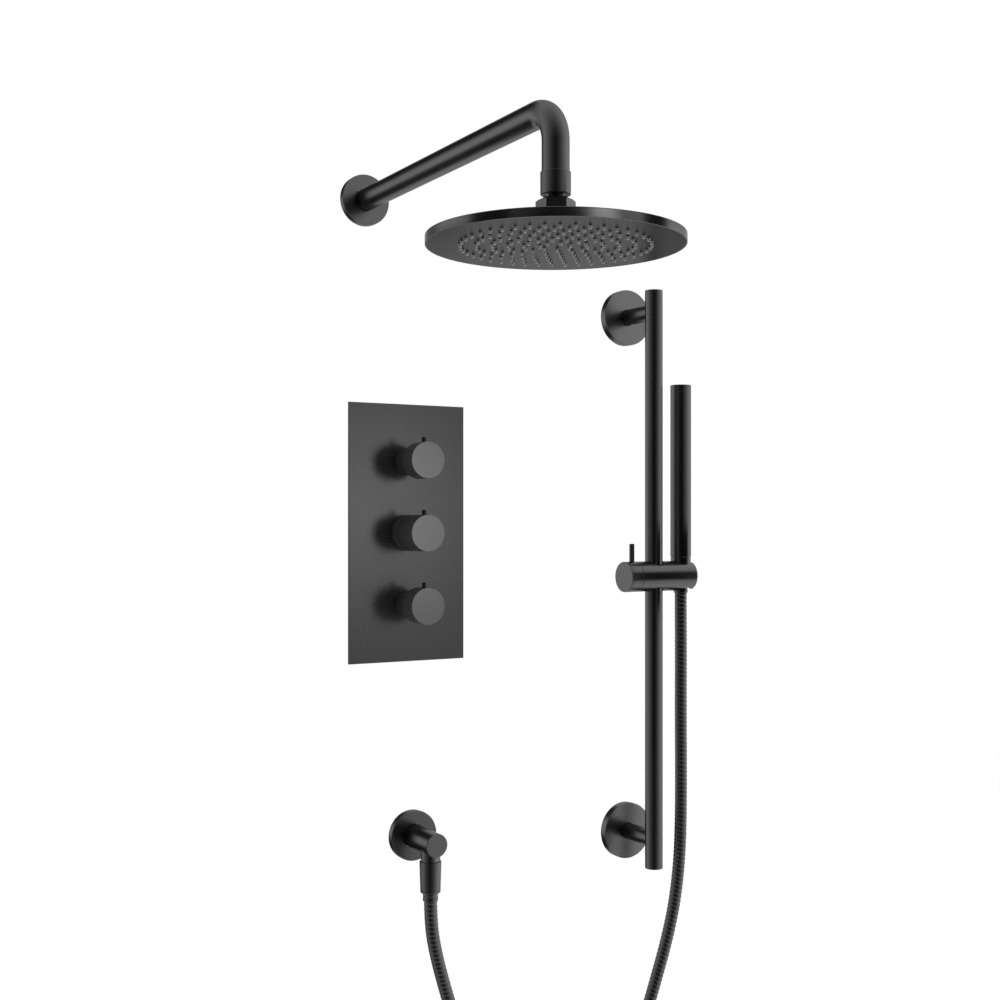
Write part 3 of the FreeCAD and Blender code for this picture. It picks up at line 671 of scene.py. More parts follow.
class SHOWER_OT_hose(bpy.types.Operator):
    """Make the hanging hose with its nuts and ferrules"""
    bl_idname = "shower.hose"
    bl_label = "Hose"

    def execute(self, context):
        look = context.scene.shower_finish
        material, tree = new_material("hose_satin")
        handled = group_node(tree, "Handling", {
            "Color": (*[c * 0.95 for c in look.coating_color], 1), "Worn": grey(0.34), "Wear": 0.5,
            "Patch depth": 0.15})
        scratch = noise(tree, place_on_object(tree), 1600.0)
        rough = maths(tree, "ADD", maths(tree, "MULTIPLY", scratch, 0.12), 0.22)
        end_material(tree, handled["Color"], rough, scratch, 0.1, 0.00002,
                     Metallic=1.0, Specular_Tint=grey(look.edge_tint))
        lower, lower_path, rib = ribbed_hose("Hose.lower", [OUTLET_END, *LOWER_POINTS, HOSE_SEAM], 0.0)
        upper, upper_path, _ = ribbed_hose("Hose.upper", [HOSE_SEAM, *UPPER_POINTS, HANDSET_END], rib)
        outlet_fittings = self.fittings("outlet", "root")
        handset_fittings = self.fittings("handset", "handset_nut")
        for obj, node in ((lower, "hose_lower"), (upper, "hose_upper")):
            obj.data.materials.append(material)
            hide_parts(node)
        seam, outlet, handset = (Vector(p) * MM for p in (HOSE_SEAM, OUTLET_END, HANDSET_END))
        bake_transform(lower)
        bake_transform(upper)
        return {"FINISHED"}

    def fittings(self, end, body):
        """The conical nut and the ferrule at one end of the hose."""
        head, top, length = measure("hose_nut_" + end, DOWN)
        foot, socket, hole, ring = top - 1.05, 10.5, 7.0, length - 3.0

        def side(depth):
            return top + (foot - top) * depth / length

        nut = turned("Hose.nut_" + end, [
            (socket, 0, 0.3), (top, 0, 0.7), (side(ring), -ring, 0.15), (side(ring) - 0.5, -ring - 0.4),
            (side(ring + 0.8), -ring - 0.8, 0.15), (foot, -length, 0.7), (hole, -length, 0.3),
            (hole, 8.0 - length), (socket, 8.0 - length)], head, Z)
        satin_nut = satin("nut_satin_" + end, head, Z)
        place(nut, "hose_nut_" + end, satin_nut, body)
        head, outer, length = measure("hose_ferrule_" + end, DOWN)
        inner, crimp = 7.55, outer - 0.35
        ferrule = turned("Hose.ferrule_" + end, [
            (inner, 0), (outer, 0, 0.3), (outer, -length * 0.3, 0.2), (crimp, -length * 0.38, 0.2),
            (crimp, -length * 0.5, 0.2), (outer, -length * 0.58, 0.2), (outer, -length, 0.8),
            (inner, -length)], head, Z)
        place(ferrule, "hose_ferrule_" + end, satin_nut, body)
        return [nut, ferrule]


# ---- arm and rain head ----

def cover_disc(name, node, bore, centre):
    """A cup-shaped wall cover disc round a bore, open at its back."""
    radius, depth = measure(node, Y)[1:]
    edge, wall = bpy.context.scene.shower_sizes.edge_rounding, 2
    return turned(name, [
        (bore, 0), (bore + wall, 0), (bore + wall, depth - wall), (radius - wall, depth - wall),
        (radius - wall, 0), (radius, 0), (radius, depth, edge), (bore, depth, 0.3)], centre, ROOM, 128)


class SHOWER_OT_arm(bpy.types.Operator):
    """Make the bent arm, its wall disc and its end sleeve"""
    bl_idname = "shower.arm"
    bl_label = "Arm"

    def execute(self, context):
        sizes = context.scene.shower_sizes
        low, high = span("shower_arm")
        radius = (high.x - low.x) / 2
        x, leg, top = (low.x + high.x) / 2, low.y + radius, high.z - radius
        coat = satin("arm_satin", Vector((x, leg, top)), Z)
        mesh = bpy.data.meshes.new("Arm.tube")
        line = [Vector((x, 0, top)), Vector((x, leg, top)), Vector((x, leg, low.z))]
        mesh.from_pydata([p * MM for p in line], [(0, 1), (1, 2)], [])
        tube = run_tree(link("Arm.tube", mesh), bent_bar_tree(), {
            "Radius": radius * MM, "Bend radius": sizes.arm_bend, "Material": coat})
        tidy(tube.data)
        place(tube, "shower_arm", coat)

        wall = Vector((x, 0, top))
        disc = cover_disc("Arm.wall_disc", "arm_wall_disc", radius + 0.3, wall)
        # painted highlight: the disc's front face is made lighter than its side
        place(disc, "arm_wall_disc", satin("arm_disc_satin", wall, Y, ends=1.75))

        foot, outer, length = measure("arm_end_sleeve")
        thread, seat = 10.5, 5
        sleeve = turned("Arm.end_sleeve", [
            (thread, 0), (outer, 0, 0.9), (outer, length, 0.9), (radius + 0.05, length),
            (radius + 0.05, length - seat), (thread, length - seat)], Vector((x, leg, foot.z)), Z)
        place(sleeve, "arm_end_sleeve", coat)
        return {"FINISHED"}


class SHOWER_OT_rain_head(bpy.types.Operator):
    """Make the rain head, its nozzle mat and its collar nut"""
    bl_idname = "shower.rain_head"
    bl_label = "Rain head"

    def execute(self, context):
        sizes = context.scene.shower_sizes
        plate_foot, plate_radius, face = measure("head_face_plate")
        axis_foot, radius, height = measure("head_upper_shell")
        plate_top = plate_foot.z + face
        thick, boss, bore, inside = 8.0, 15.0, 7.0, plate_radius + 0.05
        ball_radius, cavity = 11.0, 12.47
        ball_height = span("ball_stud")[0].z + ball_radius - axis_foot.z
        bowl = [(cavity * math.sin(math.radians(a)), ball_height - cavity * math.cos(math.radians(a)))
                for a in (75, 66, 57, 48, 41)]
        ceiling = thick - 1.6
        shell = turned("Head.shell", [
            (radius, 0, 0.35), (radius, thick, 0.8), (boss, thick, 0.4), (boss, height, 0.4),
            *bowl, (bore, bowl[-1][1] - 1.0), (bore, ceiling), (inside, ceiling), (inside, 0, 0.1)],
            axis_foot, Z, 192)
        # painted reflection: the rim's coating carries broad darker and lighter rings
        rim = satin("head_rim_satin", axis_foot, Z, reflection_ring_depth=0.1, rough=-0.02)
        place(shell, "head_upper_shell", rim, "rain_head")
        # painted shade: the downward face is a darker copy of the coating
        frame["nodes"]["head_face_plate"].material_slots[0].material = satin(
            "head_face_satin", axis_foot, Z, shade=0.5, rough=0.03)

        look, tree = new_material("nozzle_silicone")
        handled = group_node(tree, "Handling", {
            "Color": grey(0.7), "Worn": grey(0.75), "Wear": 0.3, "Patch depth": 0.2})
        skin = noise(tree, place_on_object(tree), 2500.0)
        rough = maths(tree, "ADD", maths(tree, "MULTIPLY", skin, 0.1), 0.38)
        end_material(tree, handled["Color"], rough, skin, 0.1, 0.00003)
        mat_foot, mat_radius, mat_height = measure("head_nozzle_mat")
        drop = plate_foot.z - mat_foot.z
        teat = turned("Head.nozzle_mat", [
            (0, 0), (1.7, 0), (1.7, -face), (1.45, -face - drop * 0.55, 0.3), (1.2, -face - drop, 0.35),
            (0.5, -face - drop), (0.35, -face - drop + 0.8), (0, -face - drop + 0.8)], Vector(), Z, 12)
        mat = run_tree(teat, ring_tree(sizes.nozzle_rings), {
            "Ring spacing": sizes.nozzle_ring_step, "Nozzles per ring step": sizes.nozzles_per_step,
            "Lean": 0.02, "Seed": 4, "Mat radius": mat_radius * MM,
            "Mat thickness": (mat_foot.z + mat_height - plate_top) * MM,
            "Place": Vector((axis_foot.x, axis_foot.y, plate_top)) * MM, "Material": look})
        place(mat, "head_nozzle_mat", look, "rain_head", "silicone")
        self.collar_nut()
        return {"FINISHED"}

    def collar_nut(self):
        """A hexagonal nut whose top is turned to a cone."""
        foot, _, height = measure("ball_collar_nut")
        corner, mouth, shoulder, throat = 18.0, 11.8, 2.8, 15.05
        sides = 120
        rows = []
        for i in range(sides):
            turn = 2 * math.pi * i / sides
            lean = turn % (math.pi / 3) - math.pi / 6
            flat = corner * math.cos(math.pi / 6) / math.cos(abs(lean) - math.pi / 6)
            flat = min(flat, corner - 0.12)
            meet = height - shoulder * (flat - mouth) / (corner - mouth)
            rows.append([
                (throat, 0), (flat - 0.35, 0), (flat, 0.35), (flat, meet), (mouth + 0.3, height),
                (mouth, height - 0.1), (10.5, height - 4.2), (12.4, height - 12), (throat, 19.2)])
        vertices, count = [], len(rows[0])
        for i, row in enumerate(rows):
            turn = 2 * math.pi * i / sides
            for radius, up in row:
                vertices.append(foot + Vector((radius * math.cos(turn), radius * math.sin(turn), up)))
        faces = [
            (i * count + k, i * count + (k + 1) % count, (i + 1) % sides * count + (k + 1) % count,
             (i + 1) % sides * count + k)
            for i in range(sides) for k in range(count)]
        nut = mesh_piece("Head.collar_nut", vertices, faces)
        place(nut, "ball_collar_nut", satin("collar_nut_satin", foot, Z), "rain_head")


# ---- valve ----

class SHOWER_OT_valve(bpy.types.Operator):
    """Make the valve's plate, rings, knobs and levers"""
    bl_idname = "shower.valve"
    bl_label = "Valve"

    def execute(self, context):
        self.plate()
        self.rings()
        for name in ("upper_flow", "temperature", "lower_flow"):
            self.knob(name)
        return {"FINISHED"}

    def plate(self):
        low, high = span("valve_plate")
        edge, thick, corner, hole = 0.45, high.y - low.y, 0.8, 15.55
        curve = bpy.data.curves.new("Valve.plate", "CURVE")
        curve.dimensions, curve.fill_mode = "2D", "BOTH"
        curve.extrude = (thick / 2 - edge) * MM
        curve.bevel_depth, curve.bevel_resolution, curve.offset = edge * MM, 3, -edge * MM
        outline = []
        for sx, sz, start in ((1, 1, 0), (-1, 1, 90), (-1, -1, 180), (1, -1, 270)):
            for step in range(5):
                turn = math.radians(start + step * 22.5)
                outline.append((sx * (high.x - corner) + corner * math.cos(turn),
                                sz * (high.z - corner) + corner * math.sin(turn)))
        heights = [middle(name + "_knob").z for name in ("upper_flow", "temperature", "lower_flow")]
        holes = [[(hole * math.cos(a), z + hole * math.sin(a))
                  for a in np.linspace(0, 2 * math.pi, 64, endpoint=False)] for z in heights]
        for ring in (outline, *holes):
            spline = curve.splines.new("POLY")
            spline.points.add(len(ring) - 1)
            spline.use_cyclic_u = True
            for point, spot in zip(spline.points, ring):
                point.co = (spot[0] * MM, spot[1] * MM, 0, 1)
        flat = link("plate_outline", curve)
        mesh = bpy.data.meshes.new_from_object(flat)
        bpy.data.objects.remove(flat)
        for vertex in mesh.vertices:
            x, z, y = vertex.co
            vertex.co = (x, (low.y + high.y) / 2 * MM + y, z)
        tidy(mesh)
        # painted shade: the plate is a darker copy of the coating
        coat = satin("plate_satin", stretch=(40, 60, 2200), shade=0.74, wear=0.5, grain_depth=0.3,
                     metal=0.65)
        place(link("Valve.plate", mesh), "valve_plate", coat)

    def rings(self):
        base, radius, length = measure("temperature_ring", ROOM)
        base.x = base.z = 0
        bore, spigot, spigot_length = 15.5, 17.5, 4.0
        length -= spigot_length
        ring = turned("Valve.temperature_ring", [
            (bore, 0), (radius, 0), (radius, length - 2.3, 0.1), (radius - 0.5, length - 1.8),
            (radius, length - 1.3, 0.1), (radius, length, 0.3), (spigot, length),
            (spigot, length + spigot_length), (bore, length + spigot_length)], base, ROOM)
        # painted light: the ring and shrouds are a lighter copy of the coating
        coat = satin("knob_side_satin", base, Y, shade=1.1, metal=0.5)
        place(ring, "temperature_ring", coat)
        low, high = span("flow_shrouds")
        radius = (high.x - low.x) / 2
        z = low.z + radius
        shroud = turned("Valve.flow_shrouds", [
            (radius - 1.5, 0), (radius, 0), (radius, high.y - low.y, 0.3),
            (radius - 1.5, high.y - low.y, 0.3)], Vector((0, high.y, z)), ROOM)
        step = high.z - low.z - 2 * radius
        run_tree(shroud, row_tree(), {"Count": 2, "Step": (0, 0, step * MM), "Material": coat})
        place(shroud, "flow_shrouds", coat)

    def knob(self, name):
        base, radius, length = measure(name + "_knob", ROOM)
        lever_foot, lever_radius, lever_length = measure(name + "_lever")
        front, bottom, bore, boss, inner = length - 4, length - 7, 4.05, 8, radius - 2.5
        hub = min(length - 4.1, 17.0)
        knob = turned(f"Valve.{name}_knob", [
            (inner, 0, 0.2), (radius, 0, 0.5), (radius, length, 0.5), (0, length),
            (0, bottom), (bore, bottom), (bore, front - hub), (boss, front - hub),
            (boss, front), (inner, front)], base, ROOM, 128)
        hole_foot = Vector((base.x, lever_foot.y, base.z + 12))
        carve(knob, plug(lever_radius + 0.05, hole_foot, Z, radius))
        # painted light: the knob is a lighter copy of the coating, with a painted highlight on its front
        # face
        coat = satin(name + "_knob_satin", base, Y, shade=1.1, ends=1.2, wear=0.3, metal=0.5)
        place(knob, name + "_knob", coat, name)
        # painted shade: the lever pin is a much darker copy of the coating, standing in for the dark it
        # mirrors
        lever_satin = satin(name + "_lever_satin", middle(name + "_lever"), Z, shade=0.3)
        pin(f"Valve.{name}_lever", name + "_lever", lever_radius,
            Vector((base.x, lever_foot.y, lever_foot.z)), lever_length, lever_satin, name, 48)


# ---- rail ----

class SHOWER_OT_rail(bpy.types.Operator):
    """Make the riser rail with its plugs, posts and wall discs"""
    bl_idname = "shower.rail"
    bl_label = "Rail"

    def execute(self, context):
        foot, radius, length = measure("rail_tube")
        coat = satin("rail_satin", foot, Z)
        wall, depth = 1.5, 10
        tube = turned("Rail.tube", [
            (radius - wall, 0), (radius, 0, 0.15), (radius, length, 0.15), (radius - wall, length)],
            foot, Z)
        place(tube, "rail_tube", coat)
        head = span("rail_end_plugs")[1].z - span("rail_tube")[1].z
        plug_radius = radius - wall - 0.05
        profile = [(0, -depth), (plug_radius, -depth, 0.4), (plug_radius, 0), (radius, 0, 0.15),
                   (radius, head, 0.35), (0, head)]
        top = turned("Rail.end_plugs", profile, foot + Z * length, Z)
        bottom = turned("Rail.end_plug_low", profile, foot, DOWN)
        carve(top, bottom, operation="UNION")
        place(top, "rail_end_plugs", coat)

        low, high = span("rail_wall_discs")
        disc_radius = (high.x - low.x) / 2
        lower, upper = low.z + disc_radius, high.z - disc_radius
        step = (0, 0, (upper - lower) * MM)
        wall = Vector((foot.x, 0, lower))
        post_radius = measure("rail_posts")[1]
        disc = cover_disc("Rail.wall_discs", "rail_wall_discs", post_radius + 0.3, wall)
        # painted highlight: the faces of the discs and posts square to the wall are made lighter
        disc_coat = satin("bracket_satin", wall, Y, ends=1.75)
        run_tree(disc, row_tree(), {"Count": 2, "Step": step, "Material": disc_coat})
        place(disc, "rail_wall_discs", disc_coat)
        post = self.post(wall, foot.y, radius + 0.05, post_radius)
        run_tree(post, row_tree(), {"Count": 2, "Step": step, "Material": disc_coat})
        place(post, "rail_posts", disc_coat)
        return {"FINISHED"}

    def post(self, wall, rail_y, saddle, radius):
        """A post whose end is hollowed to sit against the rail."""
        sides, bore, deep = 72, 7.6, 32.0
        vertices, rings = [], []
        levels = [(bore, None, 0.3), (radius, None, 0.3), (radius, saddle, 0), (radius * 0.5, saddle, 0),
                  (0.01, saddle, 0), (0.01, None, deep), (bore, None, deep)]
        for ring_radius, hollow, depth in levels:
            rings.append(len(vertices))
            for i in range(sides):
                turn = 2 * math.pi * i / sides
                x, z = ring_radius * math.cos(turn), ring_radius * math.sin(turn)
                y = rail_y + math.sqrt(hollow ** 2 - x ** 2) if hollow else -depth
                vertices.append((wall.x + x, y, wall.z + z))
        faces = []
        for here, after in zip(rings, rings[1:] + rings[:1]):
            if (here, after) == (rings[4], rings[5]):
                continue
            for i in range(sides):
                j = (i + 1) % sides
                faces.append((here + i, here + j, after + j, after + i))
        for ring in rings[4:6]:
            faces.append(tuple(range(ring, ring + sides)))
        return mesh_piece("Rail.posts", vertices, faces)


# ---- slider ----

class SHOWER_OT_slider(bpy.types.Operator):
    """Make the slider's body, its clamp knob and its lever"""
    bl_idname = "shower.slider"
    bl_label = "Slider"

    def execute(self, context):
        start, radius, length = measure("slider_body", X)
        rail = middle("rail_tube")
        nut_top, nut_radius, nut_length = measure("hose_nut_handset", DOWN)
        body = turned("Slider.body", [
            (0, 0), (radius, 0, 0.3), (radius, length, 2.6), (0, length)], start, X, 128)
        deep = -nut_length - 8
        seat = turned("cutter", [
            (0, deep), (nut_radius - 1.2, deep), (nut_radius + 0.1, 0), (0, 0)],
            Vector((nut_top.x, start.y, nut_top.z)), Z, 96)
        slot, through = Vector((0, 8.4, 30)), Z * 30
        nut_line = Vector((nut_top.x, start.y, start.z))
        carve(body,
              plug(measure("slider_liner")[1] + 0.06, Vector((rail.x, rail.y, start.z)) - through, Z,
                   2 * through.z, 96),
              plug(4.06, start + LEFT, X, rail.x - start.x, 48),
              seat,
              block(nut_line - slot, start + X * (length + 5) + slot))
        place(body, "slider_body", satin("slider_satin", start, X), "holder")

        base, _, length = measure("clamp_knob", X)
        base.y, base.z = start.y, start.z
        lever_foot, lever_radius, lever_length = measure("clamp_lever")
        lever_foot.y = start.y
        first, bore, bore_depth = 3.1, 4.05, 8.95
        knob = turned("Slider.clamp_knob", [
            (0, 0), (radius, 0, 0.8), (radius, first, 0.1), (radius - 0.5, first + 0.4),
            (radius, first + 0.8, 0.1), (radius, length, 0.3), (bore, length), (bore, bore_depth),
            (0, bore_depth)], base, X, 128)
        carve(knob, plug(lever_radius + 0.05, lever_foot, Z, 20, 48))
        place(knob, "clamp_knob", satin("clamp_satin", base, X), "clamp")
        pin("Slider.clamp_lever", "clamp_lever", lever_radius, lever_foot, lever_length,
            satin("clamp_lever_satin", lever_foot, Z), "clamp", 64)
        return {"FINISHED"}


# ---- handset ----

class SHOWER_OT_handset(bpy.types.Operator):
    """Make the stick handset with its cap and spray strip"""
    bl_idname = "shower.handset"
    bl_label = "Handset"

    def execute(self, context):
        foot, radius, length = measure("handset_shell")
        strip_low, strip_high = span("handset_spray_strip")
        wall, floor, bore = 1.5, 3.0, 6
        shell = turned("Handset.shell", [
            (bore, 0), (radius, 0, 0.5), (radius, length, 0.7), (radius - wall, length, 0.2),
            (radius - wall, floor), (bore, floor)], foot, Z, 128)
        inner = radius - wall - 3
        carve(shell, block(
            (foot.x + inner, strip_low.y - 0.1, strip_low.z - 0.1),
            (foot.x + radius + 1, strip_high.y + 0.1, strip_high.z + 0.1)))
        coat = satin("handset_satin", foot, Z)
        place(shell, "handset_shell", coat, "handset")
        cap_foot, cap_radius, height = measure("handset_top_cap")
        cap_foot.x, cap_foot.y = foot.x, foot.y
        cap = turned("Handset.top_cap", [
            (0, 0), (cap_radius, 0), (cap_radius, height, 0.3), (0, height)], cap_foot, Z)
        place(cap, "handset_top_cap", coat, "handset")
        self.spray_strip(strip_low, strip_high)
        return {"FINISHED"}

    def spray_strip(self, low, high):
        proud = 0.9
        look = cast("spray_strip_silicone", (0.05, 0.05, 0.052), 0.45, 0.0, 0.1, 2500.0)
        face = high.x - proud
        sheet = block((face - 1.6, low.y, low.z), (face, high.y, high.z))
        sheet.name = "Handset.spray_strip"
        edge = sheet.modifiers.new("edge", "BEVEL")
        edge.width, edge.segments = 0.3 * MM, 2
        settle(sheet)
        nozzle = turned("nozzle", [
            (0, 0), (0.9, 0), (0.9, 0.5), (0.7, proud + 0.6, 0.2), (0.25, proud + 0.6),
            (0.2, proud), (0, proud)], Vector(), X, 12)
        rows, columns = 9, 3
        width, height = high.y - low.y, high.z - low.z
        run_tree(nozzle, field_tree(), {
            "Columns": columns, "Rows": rows, "Width": width * (1 - 1 / columns) * MM,
            "Height": height * (1 - 1 / rows) * MM,
            "Place": Vector((face - 0.6, (low.y + high.y) / 2, (low.z + high.z) / 2)) * MM,
            "Material": look})
        work = bmesh.new()
        work.from_mesh(sheet.data)
        work.from_mesh(nozzle.data)
        work.to_mesh(sheet.data)
        work.free()
        bpy.data.objects.remove(nozzle)
        place(sheet, "handset_spray_strip", look, "handset", "silicone")


# ---- outlet ----

class SHOWER_OT_outlet(bpy.types.Operator):
    """Make the wall outlet elbow and its disc"""
    bl_idname = "shower.outlet"
    bl_label = "Outlet"

    def execute(self, context):
        low, high = span("outlet_elbow")
        radius = (high.x - low.x) / 2
        x, z, reach = (low.x + high.x) / 2, high.z - radius, high.y - low.y
        wall = Vector((x, 0, z))
        nut_top = measure("hose_nut_outlet", DOWN)[0]
        fall, turning = z - nut_top.z, Vector((x, nut_top.y, z))
        bore, end, outer, thread = 8.5, 6, 11.2, 10.4
        barrel = turned("Outlet.elbow", [
            (bore, 0), (radius, 0), (radius, reach, 0.9), (0, reach), (0, reach - end),
            (bore, reach - end)], wall, ROOM, 128)
        neck = turned("neck", [
            (0, 0), (outer, 0), (outer, fall - 0.3, 0.3), (thread, fall - 0.3), (thread, fall + 12, 0.5),
            (0, fall + 12)], turning, DOWN)
        carve(barrel, neck, operation="UNION")
        carve(barrel, plug(7.0, turning, DOWN, 60))
        # painted highlight: the elbow's front face is made lighter than its barrel
        place(barrel, "outlet_elbow", satin("outlet_satin", wall, Y, ends=1.4))
        disc = cover_disc("Outlet.wall_disc", "outlet_wall_disc", radius + 0.3, wall)
        # painted highlight: the disc's front face is made lighter than its side
        place(disc, "outlet_wall_disc", satin("outlet_disc_satin", wall, Y, ends=1.25))
        return {"FINISHED"}


class SHOWER_OT_fittings(bpy.types.Operator):
    """Give the hidden fittings, pipes and screws their finishes"""
    bl_idname = "shower.fittings"
    bl_label = "Hidden fittings"

    def execute(self, context):
        looks = {
            "brass": cast("cast_brass", (0.62, 0.44, 0.2), 0.36, 1.0, 0.5, 1400.0),
            "steel": cast("plated_steel", (0.58, 0.58, 0.6), 0.3, 1.0, 0.2, 1800.0),
            "acetal": cast("acetal_white", (0.78, 0.78, 0.75), 0.42, 0.0, 0.1, 1500.0),
            "cartridge_plastic": cast("glass_filled_plastic", (0.62, 0.64, 0.66), 0.5, 0.0, 0.3, 1200.0),
            "silicone": cast("silicone_hidden", (0.16, 0.16, 0.165), 0.45, 0.0, 0.1, 1500.0),
            "seal_foam": cast("closed_cell_foam", (0.06, 0.06, 0.06), 0.85, 0.0, 0.9, 1600.0),
            "hose_metal": satin("hose_hidden_satin", Vector(), Z),
            "matt_black": satin("hidden_satin", stretch=(900, 900, 900)),
        }
        for part in frame["record"]["subparts"]:
            obj = frame["nodes"][part["node"]]
            if obj.hide_render or part["node"] == "head_face_plate":
                continue
            for slot in obj.material_slots:
                slot.material = looks[part["material_slot"]]
        return {"FINISHED"}


# ---- stage ----

class SHOWER_OT_stage(bpy.types.Operator):
    """Make the camera, the pale floor and the studio light"""
    bl_idname = "shower.stage"
    bl_label = "Stage"

    camera_place = Vector((-0.6981, -1.4159, 0.0130))
    camera_turn = math.radians(-30.24)
    camera_lens, camera_shift = 48.43, 0.0217

    def execute(self, context):
        self.camera()
        self.floor()
        self.studio()
        self.soft_box("Valve.", (0.59, -1.416, 0.05), (0, 0, 0.03), 0.32, 0.46, 0.55)
        self.soft_box("Head.", (0.09, -1.7, 0.46), (-0.05, -0.52, 0.26), 0.6, 0.3, 0.7)
        self.black_card((0.383, -0.16, -0.048), (0.383, 0, -0.048), 0.13, 0.108)
        head = middle("head_face_plate") * MM
        self.black_card(head + Vector((0.148, -0.172, 0.03)), head, 0.1, 0.13)
        self.black_card(head + Vector((-0.2315, -0.052, 0.02)), head, 0.13, 0.1)
        return {"FINISHED"}

    def camera(self):
        data = bpy.data.cameras.new("Camera")
        data.sensor_width, data.lens, data.shift_y = 36.0, self.camera_lens, self.camera_shift
        camera = link("Camera", data)
        camera.location = self.camera_place
        camera.rotation_euler = (math.radians(90), 0, self.camera_turn)
        bpy.context.scene.camera = camera

    def floor(self):
        """A pale round floor that fades into the studio's white."""
        reach, height = 9.0, cad_size[0][2] - 0.45
        mesh = bpy.data.meshes.new("Floor")
        work = bmesh.new()
        bmesh.ops.create_circle(work, cap_ends=True, segments=96, radius=reach)
        for vertex in work.verts:
            vertex.co.z = height
        work.to_mesh(mesh)
        work.free()
        material, tree = new_material("pale_floor")
        far = vector_maths(tree, "LENGTH", place_on_object(tree), output=1)
        fade = ranged(tree, far, 2.2, 6.5, 0.0, 1.0, "SMOOTHSTEP")
        pale = add(tree, "ShaderNodeBsdfDiffuse", {"Color": (0.85, 0.85, 0.85, 1)}).outputs[0]
        lift = add(tree, "ShaderNodeEmission", {"Color": (1, 1, 1, 1), "Strength": 0.62}).outputs[0]
        lit = add(tree, "ShaderNodeAddShader", {0: pale, 1: lift}).outputs[0]
        clear = add(tree, "ShaderNodeBsdfTransparent").outputs[0]
        seen = add(tree, "ShaderNodeLightPath").outputs["Is Camera Ray"]
        shown = maths(tree, "MULTIPLY", maths(tree, "SUBTRACT", 1.0, fade), seen)
        mixed = add(tree, "ShaderNodeMixShader", {0: shown, 1: clear, 2: lit}).outputs[0]
        add(tree, "ShaderNodeOutputMaterial", {"Surface": mixed})
        mesh.materials.append(material)
        link("Floor", mesh)

    def studio(self):
        """Soft white all round and dark in front, with two dark patches that the level arm mirrors."""
        look = bpy.context.scene.shower_finish
        world = bpy.data.worlds.new("Studio")
        bpy.context.scene.world = world
        world.use_nodes = True
        tree = world.node_tree
        tree.nodes.clear()
        ray = add(tree, "ShaderNodeTexCoord").outputs["Generated"]
        dark_side = Vector((-0.53, -0.848, 0.0)).normalized()
        facing = vector_maths(tree, "DOT_PRODUCT", ray, dark_side, output=1)
        away = maths(tree, "MULTIPLY", maths(tree, "SUBTRACT", 1.0, facing), 0.5)
        side = vector_maths(tree, "DOT_PRODUCT", ray, Vector((0.85, -0.53, 0.0)), output=1)
        fuller = maths(tree, "ADD", maths(tree, "MULTIPLY", maths(tree, "MAXIMUM", side, 0.0), 0.35), 1.0)
        soft = maths(tree, "MULTIPLY", maths(tree, "MULTIPLY", away, fuller), look.studio_white)
        for patch in ((-0.16, 0.84, 0.53), (-0.28, 0.81, -0.52)):
            near = vector_maths(tree, "DOT_PRODUCT", ray, Vector(patch).normalized(), output=1)
            soft = maths(tree, "MULTIPLY", soft, ranged(tree, near, 0.88, 0.985, 1.0, 0.02, "SMOOTHSTEP"))
        lit = add(tree, "ShaderNodeBackground", {"Color": (1, 1, 1, 1), "Strength": soft}).outputs[0]
        plain = add(tree, "ShaderNodeBackground", {"Color": (1, 1, 1, 1), "Strength": 1.0}).outputs[0]
        direct = add(tree, "ShaderNodeLightPath").outputs["Is Camera Ray"]
        both = add(tree, "ShaderNodeMixShader", {0: direct, 1: lit, 2: plain}).outputs[0]
        add(tree, "ShaderNodeOutputWorld", {"Surface": both})
        bpy.context.scene.view_settings.view_transform = "Standard"

    def soft_box(self, group, place, aim, width, height, power):
        """A soft light on one group of pieces, its place and what it points at in metres."""
        name = group + "soft_box"
        data = bpy.data.lights.new(name, "AREA")
        data.shape, data.size, data.size_y, data.energy = "ELLIPSE", width, height, power
        light = link(name, data)
        light.location = place
        light.rotation_euler = (Vector(aim) - Vector(place)).to_track_quat("-Z", "Y").to_euler()
        lit = bpy.data.collections.new(name)
        for obj in bpy.context.scene.objects:
            if obj.type == "MESH" and obj.name.startswith(group):
                lit.objects.link(obj)
        light.light_linking.receiver_collection = lit

    def black_card(self, place, aim, width, height):
        """An upright black card that the camera doesn't see, and whose reflection is a dark band."""
        place, aim = Vector(place), Vector(aim)
        across = (aim - place).cross(Z).normalized() * width / 2
        up = Z * height / 2
        mesh = bpy.data.meshes.new("Black card")
        mesh.from_pydata([place - across - up, place + across - up, place + across + up,
                          place - across + up], [], [(0, 1, 2, 3)])
        material, tree = new_material("black_card")
        dull = add(tree, "ShaderNodeBsdfDiffuse", {"Color": (0.01, 0.01, 0.01, 1)}).outputs[0]
        add(tree, "ShaderNodeOutputMaterial", {"Surface": dull})
        mesh.materials.append(material)
        card = link("Black card", mesh)
        card.visible_camera = False


# ---- panel and registration ----

OPERATORS = (
    SHOWER_OT_stage, SHOWER_OT_hose, SHOWER_OT_arm, SHOWER_OT_rain_head, SHOWER_OT_valve,
    SHOWER_OT_rail, SHOWER_OT_slider, SHOWER_OT_handset, SHOWER_OT_outlet, SHOWER_OT_fittings,
)


class SHOWER_PT_panel(bpy.types.Panel):
    """Lists the shower set's pieces"""
    bl_idname = "SHOWER_PT_panel"
    bl_label = "Shower set"
    bl_space_type = "VIEW_3D"
    bl_region_type = "UI"
    bl_category = "Shower set"

    def draw(self, context):
        for operator in OPERATORS:
            self.layout.operator(operator.bl_idname)
        for settings in (context.scene.shower_sizes, context.scene.shower_finish):
            box = self.layout.box()
            for name in settings.__annotations__:
                box.prop(settings, name)


CLASSES = (ShowerSizes, ShowerFinish, *OPERATORS, SHOWER_PT_panel)


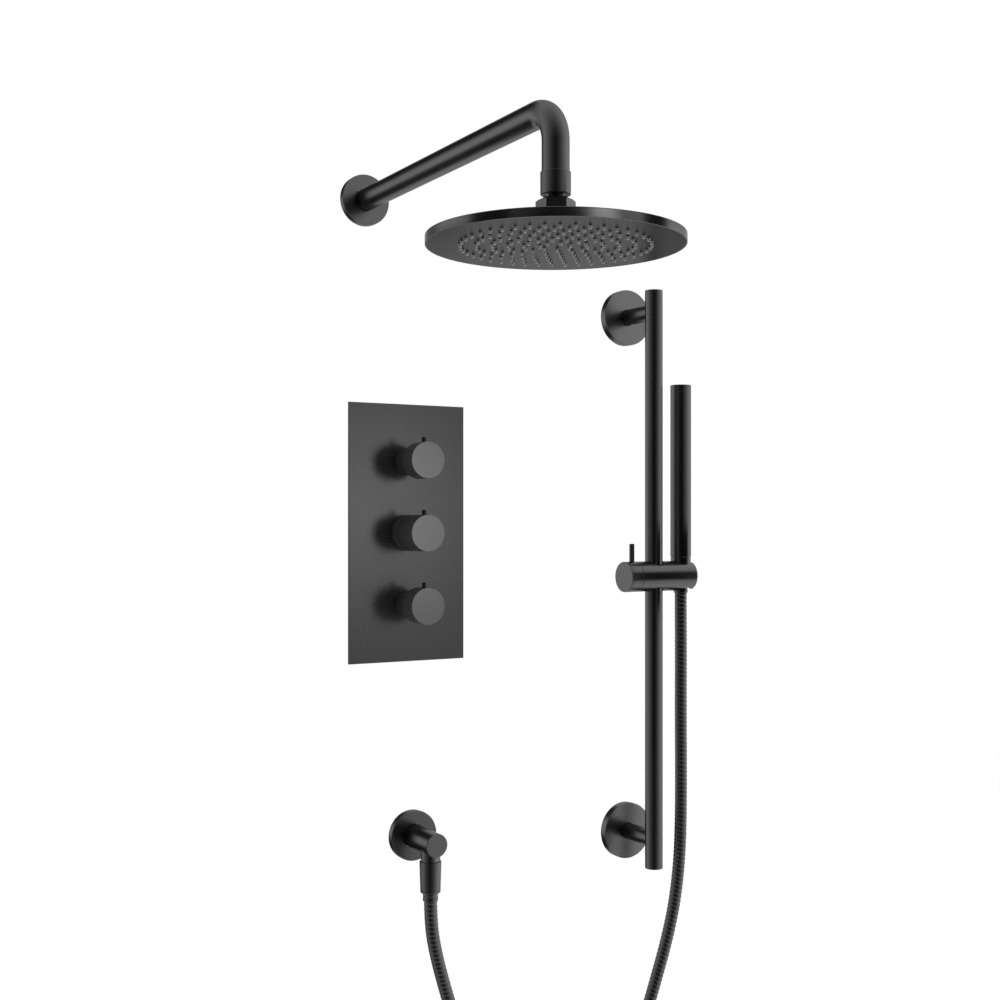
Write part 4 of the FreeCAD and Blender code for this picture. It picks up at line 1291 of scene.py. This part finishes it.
def register():
    for item in CLASSES:
        bpy.utils.register_class(item)
    bpy.types.Scene.shower_sizes = PointerProperty(type=ShowerSizes)
    bpy.types.Scene.shower_finish = PointerProperty(type=ShowerFinish)


def unregister():
    del bpy.types.Scene.shower_finish
    del bpy.types.Scene.shower_sizes
    for item in reversed(CLASSES):
        bpy.utils.unregister_class(item)


def main():
    register()
    GROUPS["Turned grain"] = turned_grain_group()
    GROUPS["Flat grain"] = flat_grain_group()
    GROUPS["Handling"] = handling_group()
    bpy.ops.shower.hose()
    bpy.ops.shower.arm()
    bpy.ops.shower.rain_head()
    bpy.ops.shower.valve()
    bpy.ops.shower.rail()
    bpy.ops.shower.slider()
    bpy.ops.shower.handset()
    bpy.ops.shower.outlet()
    bpy.ops.shower.fittings()
    bpy.ops.shower.stage()


if __name__ == "__main__":
    main()
